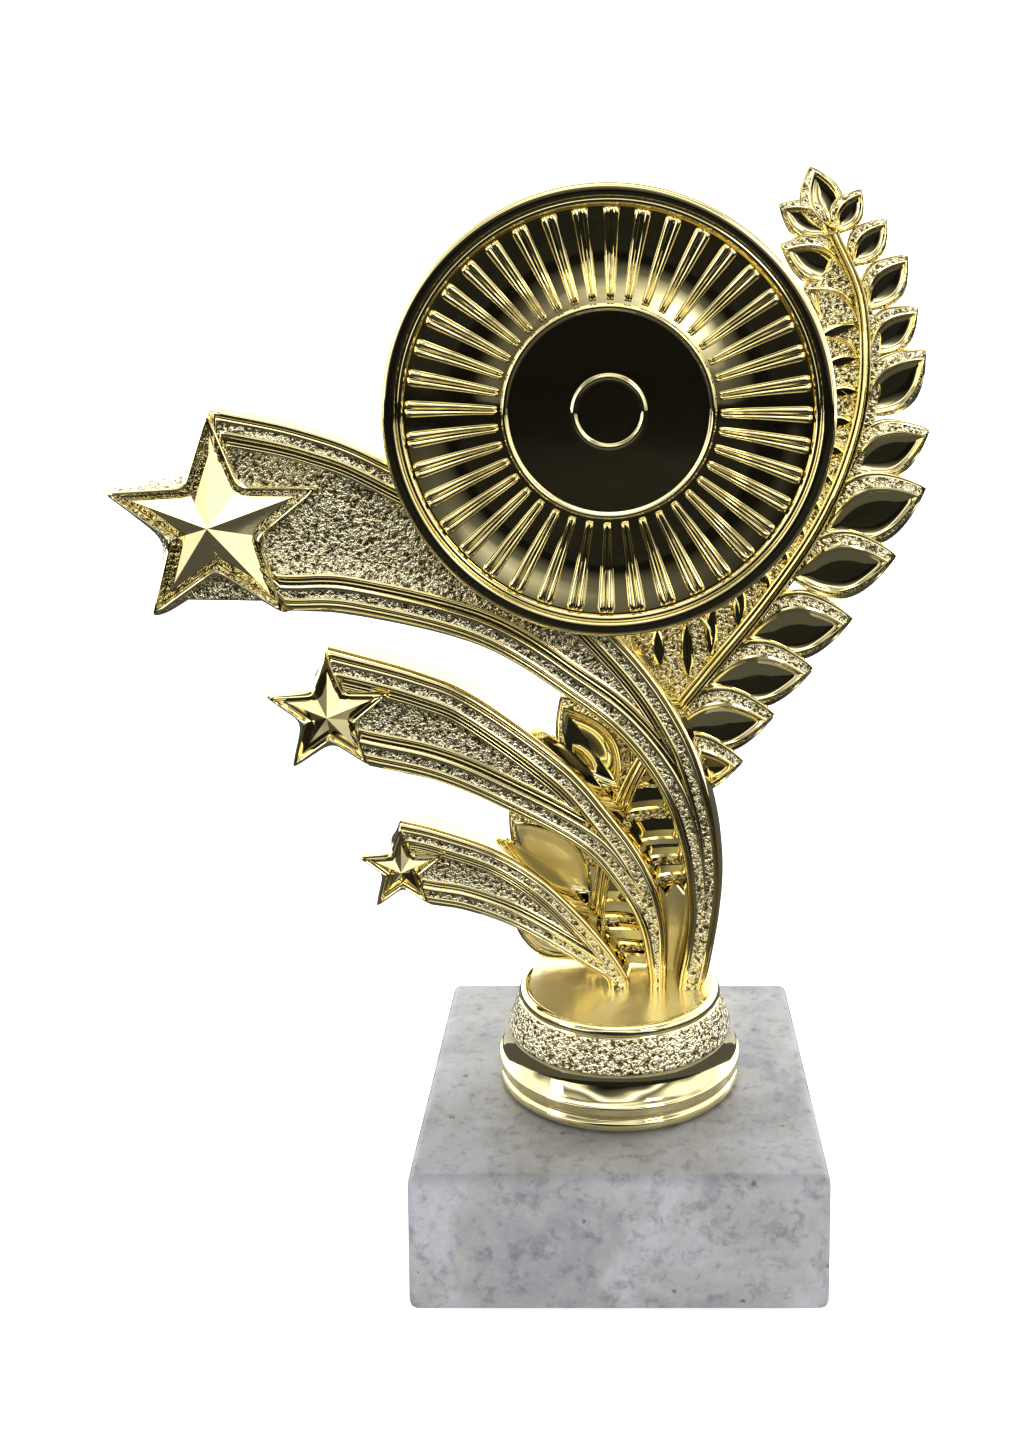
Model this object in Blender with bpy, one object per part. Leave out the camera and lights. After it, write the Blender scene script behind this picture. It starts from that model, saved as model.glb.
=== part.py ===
"""Star trophy: three shooting stars, a ribbed disc and a laurel spray on a round collar and a marble block.

Metres, +Z up. The front faces -Y. The origin is the centre of the felt's underside, on the collar's axis.
The three arms stand side by side in one layer. The laurel lies behind that layer, the disc in front of it.
Pegs locate the layers on each other. Tenons at the feet of the arms and the laurel sit in sockets in the
collar, and a threaded stud pulls the collar down onto the block.
"""

import math

import bmesh
import bpy
from mathutils import Vector
from mathutils.geometry import delaunay_2d_cdt

MM = 0.001
GAP = 0.3 * MM  # between faces that touch
WELD = 0.001 * MM  # points nearer than this are one point
OUTLINE_WELD = 0.02 * MM  # the same, where flat outlines cross

# Marble block and its felt
BASE_SIDE = 61.0 * MM
BASE_HEIGHT = 20.4 * MM
BASE_ROUNDING = 1.4 * MM
FELT_THICKNESS = 1.0 * MM
FELT_MARGIN = 3.0 * MM

# Fasteners: an M6 stud between a captive nut in the collar and a nut and washer under the block
STUD_DIAMETER = 6.0 * MM
STUD_CHAMFER = 0.6 * MM
NUT_ACROSS_FLATS = 10.0 * MM
NUT_HEIGHT = 5.0 * MM
WASHER_DIAMETER = 18.0 * MM
WASHER_THICKNESS = 1.6 * MM
THREAD_CLEARANCE = 0.3 * MM  # radial, between the stud and what it passes through
HOLE_CLEARANCE = 0.6 * MM  # radial, between the stud and the marble
COUNTERBORE_CLEARANCE = 1.0 * MM  # radial, round the washer
STUD_TAIL = 0.4 * MM  # how far the stud stands out below the lower nut
STUD_RECESS = 0.7 * MM  # from the underside of the block to the end of the stud
CUTTER_OVERSHOOT = 1.0 * MM  # how far a drill or a cutter goes past the face it opens

# Round collar, a turned shape: a foot ring, a groove, a lip, a cone to the waist and a second cone above it
COLLAR_HEIGHT = 14.9 * MM
COLLAR_RING_RADIUS = 19.4 * MM
COLLAR_RING_TOP = 1.6 * MM
COLLAR_GROOVE_RADIUS = 19.0 * MM
COLLAR_GROOVE_TOP = 2.3 * MM
COLLAR_LIP_RADIUS = 19.6 * MM
COLLAR_LIP_TOP = 4.0 * MM
COLLAR_CONE_RADIUS = 19.1 * MM
COLLAR_CONE_BOTTOM = 4.5 * MM
COLLAR_WAIST_RADIUS = 17.9 * MM
COLLAR_WAIST = 8.4 * MM
COLLAR_TOP_RADIUS = 16.1 * MM
COLLAR_TOP_ROUNDING = 0.9 * MM
COLLAR_WALL = 2.0 * MM
COLLAR_ROOF = 5.0 * MM
BOSS_RADIUS = 8.0 * MM
BOSS_LEDGE = 4.0 * MM  # material under the captive nut
SOCKET_DEPTH = 3.3 * MM
SOCKET_CLEARANCE = 0.3 * MM

# Layers of the figure, from back to front
LAUREL_THICKNESS = 3.0 * MM
ARM_THICKNESS = 6.5 * MM
ARM_FRONT = -3.0 * MM
FIGURE_DROP = 0.6 * MM  # the heights of the figure start this far below the collar's top
PANEL_DEPTH = 1.0 * MM
LEAF_DEPTH = 0.8 * MM

# Ribbed disc
DISC_RADIUS = 34.7 * MM
DISC_CENTRE = (-1.6 * MM, 93.7 * MM)
DISC_DEPTH = 4.8 * MM
DISC_FLOOR = 1.9 * MM
RIM_WIDTH = 3.0 * MM
HUB_RADIUS = 16.0 * MM
HUB_BEAD = 0.5 * MM
RIB_COUNT = 40
RIB_HEIGHT = 0.7 * MM
RIB_END_GAP = 1.2 * MM  # plain ring left at each end of the ribs

# Pegs between the layers
PEG_RADIUS = 1.1 * MM
PEG_LENGTH = 1.8 * MM
PEG_CLEARANCE = 0.3 * MM

# Each arm's star and its two edges. Points are (x, height) in millimetres, from the star down to the foot.
ARMS = {
    "star_arm_large": {
        "star": (-63.2, 75.8),
        "radius": 18.5,
        "ribbon": (4.0, 2.7),
        "upper": [(-63.0, 94.4), (-49.3, 91.4), (-37.3, 86.8), (-17.5, 75.2), (0.7, 57.5), (10.0, 44.5),
                  (14.7, 32.0), (16.3, 22.5), (16.2, 14.0), (14.6, 4.0)],
        "lower": [(-51.6, 62.0), (-41.4, 61.6), (-22.2, 56.7), (-7.6, 47.7), (0.4, 41.1), (6.4, 32.8),
                  (9.7, 23.6), (10.9, 14.3), (10.5, 8.0), (9.6, 3.0)],
        "foot": (9.2, 13.6),
    },
    "star_arm_middle": {
        "star": (-45.9, 45.5),
        "radius": 10.9,
        "ribbon": (3.5, 2.4),
        "upper": [(-46.0, 56.4), (-31.8, 52.4), (-22.3, 48.2), (-8.5, 37.8), (-0.9, 29.0), (3.5, 22.8),
                  (6.4, 16.5), (7.7, 10.0), (7.7, 3.0)],
        "lower": [(-39.6, 36.9), (-29.7, 34.7), (-20.1, 30.8), (-7.1, 23.9), (-1.0, 17.5), (3.0, 10.7),
                  (4.5, 3.0)],
        "foot": (4.6, 7.6),
    },
    "star_arm_small": {
        "star": (-34.7, 20.2),
        "radius": 7.8,
        "ribbon": (2.6, 2.0),
        "upper": [(-35.0, 28.2), (-29.0, 26.7), (-19.7, 23.4), (-12.7, 19.0), (-6.6, 13.2), (-1.7, 7.4),
                  (1.4, 2.4)],
        "lower": [(-30.2, 14.2), (-24.4, 13.2), (-17.4, 10.7), (-10.4, 6.9), (-5.4, 3.8), (-2.4, 1.9)],
        "foot": (-1.8, 1.7),
    },
}
STAR_TURN = math.radians(1.5)
STAR_NOTCH = 0.41  # notch radius over tip radius
FACET_SCALE = 0.76  # faceted star inside the outer outline
FACET_HEIGHT = 3.0 * MM
EDGE_STEPS = 4

# Laurel: the stem's centre line from the tip down, then each leaf as (base, tip), all in millimetres
STEM = [(33.7, 120.9), (38.1, 110.5), (38.8, 96.8), (36.3, 85.1), (31.4, 73.9), (23.8, 62.5),
        (15.2, 51.7), (8.0, 42.5), (3.0, 34.5), (-0.3, 26.5), (-2.6, 17.5), (-3.8, 9.0), (-4.2, 1.6)]
STEM_WIDTH = (1.4 * MM, 2.6 * MM)
OUTER_LEAVES = [((34.0, 120.9), (29.8, 131.7)), ((34.9, 121.6), (38.1, 128.1)),
                ((37.2, 116.0), (42.2, 123.5)), ((38.7, 109.4), (45.6, 117.9)),
                ((39.2, 102.6), (47.5, 109.7)), ((38.5, 92.0), (48.9, 102.8)),
                ((36.8, 83.2), (49.8, 90.1)), ((32.7, 73.6), (49.4, 80.7)),
                ((27.5, 65.4), (44.9, 69.7)), ((20.2, 56.0), (38.0, 59.4)),
                ((13.8, 48.2), (31.8, 51.1)), ((8.5, 40.5), (25.6, 43.4)),
                ((5.0, 33.5), (20.5, 35.6)), ((0.5, 27.0), (14.0, 29.5)),
                ((-1.4, 20.5), (12.0, 22.5)), ((-2.8, 14.0), (9.5, 15.5)), ((-3.6, 7.6), (6.0, 9.0))]
INNER_LEAVES = [((33.1, 120.9), (25.0, 125.7)), ((35.6, 114.4), (25.3, 119.5)),
                ((37.2, 107.8), (29.0, 113.2)), ((38.2, 100.6), (31.0, 105.6)),
                ((37.8, 92.6), (31.6, 97.6)), ((14.6, 51.8), (9.5, 63.0)),
                ((19.0, 57.2), (15.0, 66.6)), ((23.2, 62.4), (20.0, 70.4)),
                ((-0.2, 30.8), (-9.6, 46.6)), ((2.2, 35.2), (-2.8, 43.0)),
                ((-3.2, 13.4), (-18.2, 27.2)), ((-4.4, 3.0), (-18.4, 10.2))]
LEAF_FULLNESS = 0.54  # widest over length
LEAF_BORDER = 0.7  # size of a leaf's hollow over the leaf
LEAF_STEPS = 7
WEB = [(10.5, 46.4), (7.0, 55.0), (6.0, 66.0), (19.0, 74.0), (29.0, 86.0), (33.0, 100.0), (31.0, 112.0),
       (34.0, 119.0), (38.0, 112.0), (41.5, 107.0), (41.6, 96.0), (40.0, 87.0), (35.5, 76.5), (29.0, 66.5),
       (22.0, 57.5)]
ROOT = [(-5.4, 1.6), (-3.4, 9.0), (-1.0, 16.0), (4.0, 20.0), (11.0, 18.5), (11.4, 8.0), (10.8, 1.6)]
ROOT_FEET = [(-5.4, -2.8), (7.9, 9.8)]
ROOT_FOOT_TOP = 3.0 * MM

# Where a peg joins two layers: a share of the way down an arm, and (x, height) of the two laurel pegs
DISC_PEG_SHARES = (0.30, 0.42)
LAUREL_PEG_SHARES = {"star_arm_large": 0.72, "star_arm_middle": 0.80, "star_arm_small": 0.84}
DISC_TO_LAUREL_PEGS = [(26.5, 80.5), (14.5, 66.4)]

# Levels, worked out from the sizes above
FELT_TOP = FELT_THICKNESS
BASE_BOTTOM = FELT_TOP + GAP
BASE_TOP = BASE_BOTTOM + BASE_HEIGHT
COLLAR_BOTTOM = BASE_TOP + GAP
COLLAR_TOP = COLLAR_BOTTOM + COLLAR_HEIGHT
FIGURE_BOTTOM = COLLAR_TOP - FIGURE_DROP
STUD_BOTTOM = BASE_BOTTOM + STUD_RECESS
NUT_BOTTOM = STUD_BOTTOM + STUD_TAIL
WASHER_BOTTOM = NUT_BOTTOM + NUT_HEIGHT + GAP
COUNTERBORE_TOP = WASHER_BOTTOM + WASHER_THICKNESS + GAP
CAPTIVE_NUT_BOTTOM = COLLAR_BOTTOM + BOSS_LEDGE + GAP
STUD_TOP = CAPTIVE_NUT_BOTTOM + NUT_HEIGHT + GAP
ARM_BACK = ARM_FRONT + ARM_THICKNESS
LAUREL_FRONT = ARM_BACK + GAP
LAUREL_BACK = LAUREL_FRONT + LAUREL_THICKNESS
DISC_BACK = ARM_FRONT - GAP
DISC_FRONT = DISC_BACK - DISC_DEPTH
TENON_LENGTH = SOCKET_DEPTH - GAP

ROUND_STEPS = 48
SMALL_STEPS = 24
BASE_ROUNDING_STEPS = 3
RIM_STEPS = 6
DISC_BACK_CHAMFER = 0.8 * MM


def clear_scene():
    """Removes every object of the scene."""
    for obj in list(bpy.data.objects):
        bpy.data.objects.remove(obj, do_unlink=True)


def material(name, colour, metallic, roughness):
    """A plain Principled material."""
    made = bpy.data.materials.new(name)
    made.use_nodes = True
    shader = made.node_tree.nodes["Principled BSDF"]
    shader.inputs["Base Color"].default_value = (*colour, 1.0)
    shader.inputs["Metallic"].default_value = metallic
    shader.inputs["Roughness"].default_value = roughness
    return made


def new_object(name, mesh_data, finish=None):
    """Turns a bmesh into an object with outward normals. Without a finish it is a cutter."""
    bmesh.ops.remove_doubles(mesh_data, verts=mesh_data.verts, dist=WELD)
    bmesh.ops.recalc_face_normals(mesh_data, faces=mesh_data.faces)
    mesh = bpy.data.meshes.new(name)
    mesh_data.to_mesh(mesh)
    mesh_data.free()
    obj = bpy.data.objects.new(name, mesh)
    bpy.context.scene.collection.objects.link(obj)
    if finish is None:
        obj.hide_render = True
        obj.display_type = "WIRE"
    else:
        mesh.materials.append(finish)
    return obj


def smooth(obj, angle=35.0):
    """Shades an object smooth, with sharp edges over the angle in degrees."""
    obj.data.shade_smooth()
    obj.data.set_sharp_from_angle(angle=math.radians(angle))


def boolean(obj, other, operation="DIFFERENCE"):
    """Adds an exact Boolean of the other object, and hides that object."""
    change = obj.modifiers.new(f"{operation.lower()}_{other.name}", "BOOLEAN")
    change.operation = operation
    change.solver = "EXACT"
    change.object = other
    other.hide_render = True
    other.display_type = "WIRE"


def turned(profile, steps=ROUND_STEPS, along="Z", centre=(0.0, 0.0, 0.0), ripple=None):
    """A turned bmesh. The profile holds (radius, place along the axis) and closes on itself or on the axis.

    ripple(point number, angle number) gives what is added to the place along the axis.
    """
    made = bmesh.new()
    rings = []
    for number, (radius, place) in enumerate(profile):
        count = 1 if radius == 0 else steps
        ring = []
        for turn in range(count):
            angle = 2 * math.pi * turn / steps
            lift = place + (ripple(number, turn) if ripple else 0.0)
            across = radius * math.cos(angle)
            up = radius * math.sin(angle)
            point = (across, up, lift) if along == "Z" else (across, lift, up)
            ring.append(made.verts.new(Vector(centre) + Vector(point)))
        rings.append(ring)
    pairs = list(zip(rings, rings[1:]))
    if profile[0][0] > 0:
        pairs.append((rings[-1], rings[0]))
    for one, two in pairs:
        for turn in range(steps):
            after = (turn + 1) % steps
            corners = [one[turn % len(one)], one[after % len(one)]]
            corners += [two[after % len(two)], two[turn % len(two)]]
            made.faces.new(list(dict.fromkeys(corners)))
    return made


def box(name, low, high, finish=None):
    """An axis-aligned box between two corners."""
    made = bmesh.new()
    bmesh.ops.create_cube(made, size=1.0)
    for vert in made.verts:
        vert.co = Vector(low[i] + (vert.co[i] + 0.5) * (high[i] - low[i]) for i in range(3))
    return new_object(name, made, finish)


def hexagon(name, flats, bottom, top, finish=None):
    """An upright hexagonal prism, given its width across flats."""
    radius = flats / math.sqrt(3)
    profile = [(0, top), (radius, top), (radius, bottom), (0, bottom)]
    return new_object(name, turned(profile, steps=6), finish)


def rod(name, radius, bottom, top, along="Z", centre=(0.0, 0.0, 0.0), finish=None, chamfer=0.0):
    """A round rod, chamfered at both ends when asked."""
    profile = [(0, top), (radius - chamfer, top)]
    if chamfer:
        profile += [(radius, top - chamfer), (radius, bottom + chamfer)]
    profile += [(radius - chamfer, bottom), (0, bottom)]
    return new_object(name, turned(profile, SMALL_STEPS, along, centre), finish)


def in_row(point):
    """A figure point in millimetres, as metres in the frame of the trophy."""
    return Vector((point[0] * MM, FIGURE_BOTTOM + point[1] * MM))


def curve_through(points, steps=EDGE_STEPS):
    """A Catmull-Rom curve through the points."""
    ends = [points[0] * 2 - points[1], *points, points[-1] * 2 - points[-2]]
    curve = []
    for before, start, end, after in zip(ends, ends[1:], ends[2:], ends[3:]):
        for step in range(steps):
            t = step / steps
            bend = 2 * before - 5 * start + 4 * end - after
            twist = 3 * start - before - 3 * end + after
            curve.append(0.5 * (2 * start + (end - before) * t + bend * t**2 + twist * t**3))
    curve.append(points[-1].copy())
    return curve


def evenly(curve, count):
    """The curve as that many points, the same distance apart."""
    lengths = [0.0]
    for start, end in zip(curve, curve[1:]):
        lengths.append(lengths[-1] + (end - start).length)
    spaced = []
    piece = 0
    for number in range(count):
        goal = lengths[-1] * number / (count - 1)
        while piece < len(curve) - 2 and lengths[piece + 1] < goal:
            piece += 1
        share = (goal - lengths[piece]) / (lengths[piece + 1] - lengths[piece])
        spaced.append(curve[piece].lerp(curve[piece + 1], share))
    return spaced


def ribbon(curve, start_width, end_width):
    """The outline of a flat band along a curve."""
    left = []
    right = []
    for number, point in enumerate(curve):
        along = curve[min(number + 1, len(curve) - 1)] - curve[max(number - 1, 0)]
        half = 0.5 * (start_width + (end_width - start_width) * number / (len(curve) - 1))
        side = along.orthogonal().normalized() * half
        left.append(point + side)
        right.append(point - side)
    return left + right[::-1]


def star_outline(centre, radius):
    """Ten corners of a five-pointed star, from its upper tip."""
    corners = []
    for number in range(10):
        reach = radius * (1.0 if number % 2 == 0 else STAR_NOTCH)
        angle = math.pi / 2 + STAR_TURN - number * math.pi / 5
        corners.append(centre + reach * Vector((math.cos(angle), math.sin(angle))))
    return corners


def leaf_outline(base, tip, size=1.0):
    """A pointed oval from base to tip. A smaller size keeps its middle."""
    middle = (base + tip) / 2
    along = (tip - base) * size
    side = along.orthogonal() * LEAF_FULLNESS / 2
    shares = [step / LEAF_STEPS for step in range(LEAF_STEPS)]
    near = [along * (share - 0.5) + side * math.sin(math.pi * share) for share in shares]
    return [middle + point for point in near] + [middle - point for point in near]


def holds(shapes, point):
    """Whether any of the closed outlines holds a point."""
    for shape in shapes:
        crossings = 0
        for start, end in zip(shape, shape[1:] + shape[:1]):
            if (start.y > point.y) != (end.y > point.y):
                crossings += point.x < start.x + (end.x - start.x) * (point.y - start.y) / (end.y - start.y)
        if crossings % 2:
            return True
    return False


def plate(name, outlines, pockets, ridges, levels, finish):
    """A flat plate in the XZ plane, whose outline is all the outlines together.

    Its front is lower inside the pockets, except under the ridges. levels are the front, the pocket floor and
    the back, as Y.
    """
    front, floor, back = levels
    shapes = outlines + pockets + ridges
    faces = []
    for shape in shapes:
        start = sum(map(len, faces))
        faces.append(range(start, start + len(shape)))
    corners, _, triangles, _, _, _ = delaunay_2d_cdt(sum(shapes, []), [], faces, 0, OUTLINE_WELD)
    level = {}
    for triangle in triangles:
        middle = sum((corners[index] for index in triangle), Vector((0.0, 0.0))) / 3
        if holds(ridges, middle) or (holds(outlines, middle) and not holds(pockets, middle)):
            level[tuple(triangle)] = front
        elif holds(outlines, middle):
            level[tuple(triangle)] = floor
    made = bmesh.new()
    verts = {}

    def corner(index, depth):
        if (index, depth) not in verts:
            verts[index, depth] = made.verts.new((corners[index].x, depth, corners[index].y))
        return verts[index, depth]

    edges = {}
    for triangle, height in level.items():
        made.faces.new([corner(index, height) for index in triangle])
        made.faces.new([corner(index, back) for index in triangle])
        for start, end in zip(triangle, triangle[1:] + triangle[:1]):
            edges.setdefault(tuple(sorted((start, end))), []).append(height)
    for (start, end), heights in edges.items():
        low, high = (heights[0], back) if len(heights) == 1 else heights
        if low != high:
            wall = [(start, low), (end, low), (end, high), (start, high)]
            made.faces.new([corner(index, depth) for index, depth in wall])
    return new_object(name, made, finish)


def arm_edges(arm, count=33):
    """The upper and lower edge of an arm, each as evenly spaced points from the star to the collar."""
    edges = []
    for side, foot in (("upper", arm["foot"][1]), ("lower", arm["foot"][0])):
        points = [in_row(point) for point in arm[side]] + [Vector((foot * MM, COLLAR_TOP))]
        edges.append(evenly(curve_through(points), count))
    return edges


def arm_point(arm, share):
    """The middle of an arm, that share of the way from the star to the foot."""
    upper, lower = arm_edges(arm)
    number = round(share * (len(upper) - 1))
    return (upper[number] + lower[number]) / 2


def arm_panel(arm):
    """The sunk panel between an arm's two ribbons, which ends in a point."""
    upper, lower = arm_edges(arm)
    wide, narrow = (width * MM for width in arm["ribbon"])
    upper_side = []
    lower_side = []
    for number, (top, bottom) in enumerate(zip(upper, lower)):
        width = wide + (narrow - wide) * number / (len(upper) - 1)
        across = bottom - top
        if across.length < 2 * width + PANEL_DEPTH / 2:
            upper_side.append((top + bottom) / 2)
            break
        upper_side.append(top + across.normalized() * width)
        lower_side.append(bottom - across.normalized() * width)
    return upper_side + lower_side[::-1]


def star_facets(name, centre, radius):
    """A shallow five-pointed pyramid with its base sunk into the front of an arm."""
    made = bmesh.new()
    corners = star_outline(centre, radius)
    sunk = ARM_FRONT + PANEL_DEPTH / 2
    around = [made.verts.new((corner.x, ARM_FRONT, corner.y)) for corner in corners]
    below = [made.verts.new((corner.x, sunk, corner.y)) for corner in corners]
    apex = made.verts.new((centre.x, ARM_FRONT - FACET_HEIGHT, centre.y))
    for number in range(len(corners)):
        after = (number + 1) % len(corners)
        made.faces.new([around[number], around[after], apex])
        made.faces.new([around[number], around[after], below[after], below[number]])
    made.faces.new(below)
    return new_object(name, made)


def make_base(marble, felt):
    """The marble block, drilled and counterbored from below, and the felt that covers its underside."""
    half = BASE_SIDE / 2
    block = box("marble_base", (-half, -half, BASE_BOTTOM), (half, half, BASE_TOP), marble)
    rounding = block.modifiers.new("edges", "BEVEL")
    rounding.width = BASE_ROUNDING
    rounding.segments = BASE_ROUNDING_STEPS
    hole = STUD_DIAMETER / 2 + HOLE_CLEARANCE
    bore = WASHER_DIAMETER / 2 + COUNTERBORE_CLEARANCE
    above = BASE_TOP + CUTTER_OVERSHOOT
    below = BASE_BOTTOM - CUTTER_OVERSHOOT
    profile = [(0, above), (hole, above), (hole, COUNTERBORE_TOP), (bore, COUNTERBORE_TOP), (bore, below),
               (0, below)]
    boolean(block, new_object("base_drilling", turned(profile, SMALL_STEPS * 2)))
    smooth(block)
    edge = half - FELT_MARGIN
    box("felt_sheet", (-edge, -edge, 0.0), (edge, edge, FELT_TOP), felt)


def make_fasteners(steel):
    """The stud, the captive nut in the collar, and the washer and nut under the block."""
    stud_radius = STUD_DIAMETER / 2
    smooth(rod("stud", stud_radius, STUD_BOTTOM, STUD_TOP, finish=steel, chamfer=STUD_CHAMFER))
    for name, bottom in (("captive_nut", CAPTIVE_NUT_BOTTOM), ("lower_nut", NUT_BOTTOM)):
        top = bottom + NUT_HEIGHT
        nut = hexagon(name, NUT_ACROSS_FLATS, bottom, top, steel)
        thread = stud_radius + THREAD_CLEARANCE
        boolean(nut, rod(f"{name}_thread", thread, bottom - CUTTER_OVERSHOOT, top + CUTTER_OVERSHOOT))
    inner = stud_radius + THREAD_CLEARANCE
    outer = WASHER_DIAMETER / 2
    top = WASHER_BOTTOM + WASHER_THICKNESS
    ring = [(inner, top), (outer, top), (outer, WASHER_BOTTOM), (inner, WASHER_BOTTOM)]
    smooth(new_object("washer", turned(ring, SMALL_STEPS * 2), steel))


def tenons():
    """(x from, x to, y from, y to) of each foot that stands in the collar."""
    feet = [(*arm["foot"], ARM_FRONT, ARM_BACK) for arm in ARMS.values()]
    feet += [(*foot, LAUREL_FRONT, LAUREL_BACK) for foot in ROOT_FEET]
    return [(low * MM, high * MM, front, back) for low, high, front, back in feet]


def make_collar(gold):
    """The turned collar: hollow below, with a boss that traps the captive nut and sockets for the feet."""
    z = COLLAR_BOTTOM
    outside = [(0, COLLAR_TOP), (COLLAR_TOP_RADIUS - COLLAR_TOP_ROUNDING, COLLAR_TOP),
               (COLLAR_TOP_RADIUS, COLLAR_TOP - COLLAR_TOP_ROUNDING), (COLLAR_WAIST_RADIUS, z + COLLAR_WAIST),
               (COLLAR_CONE_RADIUS, z + COLLAR_CONE_BOTTOM), (COLLAR_LIP_RADIUS, z + COLLAR_LIP_TOP),
               (COLLAR_LIP_RADIUS, z + COLLAR_GROOVE_TOP + GAP),
               (COLLAR_GROOVE_RADIUS, z + COLLAR_GROOVE_TOP),
               (COLLAR_GROOVE_RADIUS, z + COLLAR_RING_TOP + GAP), (COLLAR_RING_RADIUS, z + COLLAR_RING_TOP),
               (COLLAR_RING_RADIUS, z)]
    roof = COLLAR_TOP - COLLAR_ROOF
    inside = [(COLLAR_RING_RADIUS - COLLAR_WALL, z), (COLLAR_TOP_RADIUS - COLLAR_WALL, roof),
              (BOSS_RADIUS, roof), (BOSS_RADIUS, z + GAP), (0, z + GAP)]
    collar = new_object("collar", turned(outside + inside), gold)
    stud_hole = STUD_DIAMETER / 2 + THREAD_CLEARANCE
    boolean(collar, rod("collar_stud_hole", stud_hole, z - CUTTER_OVERSHOOT, STUD_TOP + GAP))
    pocket = NUT_ACROSS_FLATS / 2 + GAP
    corner = NUT_ACROSS_FLATS / math.sqrt(3) + GAP
    slot_top = CAPTIVE_NUT_BOTTOM + NUT_HEIGHT + GAP
    boolean(collar, box("captive_nut_slot", (-2 * pocket, -pocket, CAPTIVE_NUT_BOTTOM - GAP),
                        (corner, pocket, slot_top)))
    for number, (left, right, front, back) in enumerate(tenons()):
        low = (left - SOCKET_CLEARANCE, front - SOCKET_CLEARANCE, COLLAR_TOP - SOCKET_DEPTH)
        high = (right + SOCKET_CLEARANCE, back + SOCKET_CLEARANCE, COLLAR_TOP + CUTTER_OVERSHOOT)
        boolean(collar, box(f"socket_{number}", low, high))
    smooth(collar)


def peg_hole(obj, name, point, front, back):
    """Drills a blind peg hole along Y, from front to back, at a place in the XZ plane."""
    boolean(obj, rod(name, PEG_RADIUS + PEG_CLEARANCE, back, front, "Y", (point.x, 0.0, point.y)))


def peg(obj, name, point, front, back):
    """Joins a round peg along Y to an object."""
    boolean(obj, rod(name, PEG_RADIUS, back, front, "Y", (point.x, 0.0, point.y)), "UNION")


def make_arms(gold):
    """The three shooting stars, each with two ribbons, a sunk panel, a faceted star and a foot."""
    for name, arm in ARMS.items():
        upper, lower = arm_edges(arm)
        foot_low, foot_high = (x * MM for x in arm["foot"])
        centre = in_row(arm["star"])
        radius = arm["radius"] * MM
        foot = [Vector((x, COLLAR_TOP - TENON_LENGTH)) for x in (foot_high, foot_low)]
        tail = upper + foot + lower[::-1] + [centre]
        star = star_outline(centre, radius)
        levels = (ARM_FRONT, ARM_FRONT + PANEL_DEPTH, ARM_BACK)
        made = plate(name, [tail, star], [arm_panel(arm)], [star], levels, gold)
        boolean(made, star_facets(f"{name}_facets", centre, radius * FACET_SCALE), "UNION")
        if name == "star_arm_large":
            for number, share in enumerate(DISC_PEG_SHARES):
                reach = ARM_FRONT + PANEL_DEPTH + PEG_LENGTH + GAP
                opening = ARM_FRONT - CUTTER_OVERSHOOT
                peg_hole(made, f"disc_peg_hole_{number}", arm_point(arm, share), opening, reach)
        point = arm_point(arm, LAUREL_PEG_SHARES[name])
        floor = ARM_BACK - PEG_LENGTH - GAP
        peg_hole(made, f"{name}_peg_hole", point, floor, ARM_BACK + CUTTER_OVERSHOOT)
        smooth(made)


def make_laurel(gold):
    """The laurel spray: a stem, its leaves, the web behind the disc and a root with two feet."""
    stem = curve_through([in_row(point) for point in STEM])
    outlines = [ribbon(stem, *STEM_WIDTH)]
    outlines += [[in_row(point) for point in web] for web in (WEB, ROOT)]
    hollows = []
    for base, tip in OUTER_LEAVES + INNER_LEAVES:
        grown_from = min(stem, key=lambda point: (point - in_row(base)).length)
        outlines.append(leaf_outline(grown_from, in_row(tip)))
        hollows.append(leaf_outline(grown_from, in_row(tip), LEAF_BORDER))
    for low, high in ROOT_FEET:
        top = COLLAR_TOP + ROOT_FOOT_TOP
        bottom = COLLAR_TOP - TENON_LENGTH
        corners = [(low * MM, top), (low * MM, bottom), (high * MM, bottom), (high * MM, top)]
        outlines.append([Vector(corner) for corner in corners])
    levels = (LAUREL_FRONT, LAUREL_FRONT + LEAF_DEPTH, LAUREL_BACK)
    spray = plate("laurel_spray", outlines, hollows, [ribbon(stem, *STEM_WIDTH)], levels, gold)
    for name, share in LAUREL_PEG_SHARES.items():
        point = arm_point(ARMS[name], share)
        peg(spray, f"laurel_peg_{name}", point, ARM_BACK - PEG_LENGTH, LAUREL_BACK - LEAF_DEPTH)
    for number, point in enumerate(DISC_TO_LAUREL_PEGS):
        reach = LAUREL_FRONT + LEAF_DEPTH + PEG_LENGTH / 2 + GAP
        peg_hole(spray, f"laurel_hole_{number}", in_row(point), LAUREL_FRONT - CUTTER_OVERSHOOT, reach)
    smooth(spray)


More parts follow.
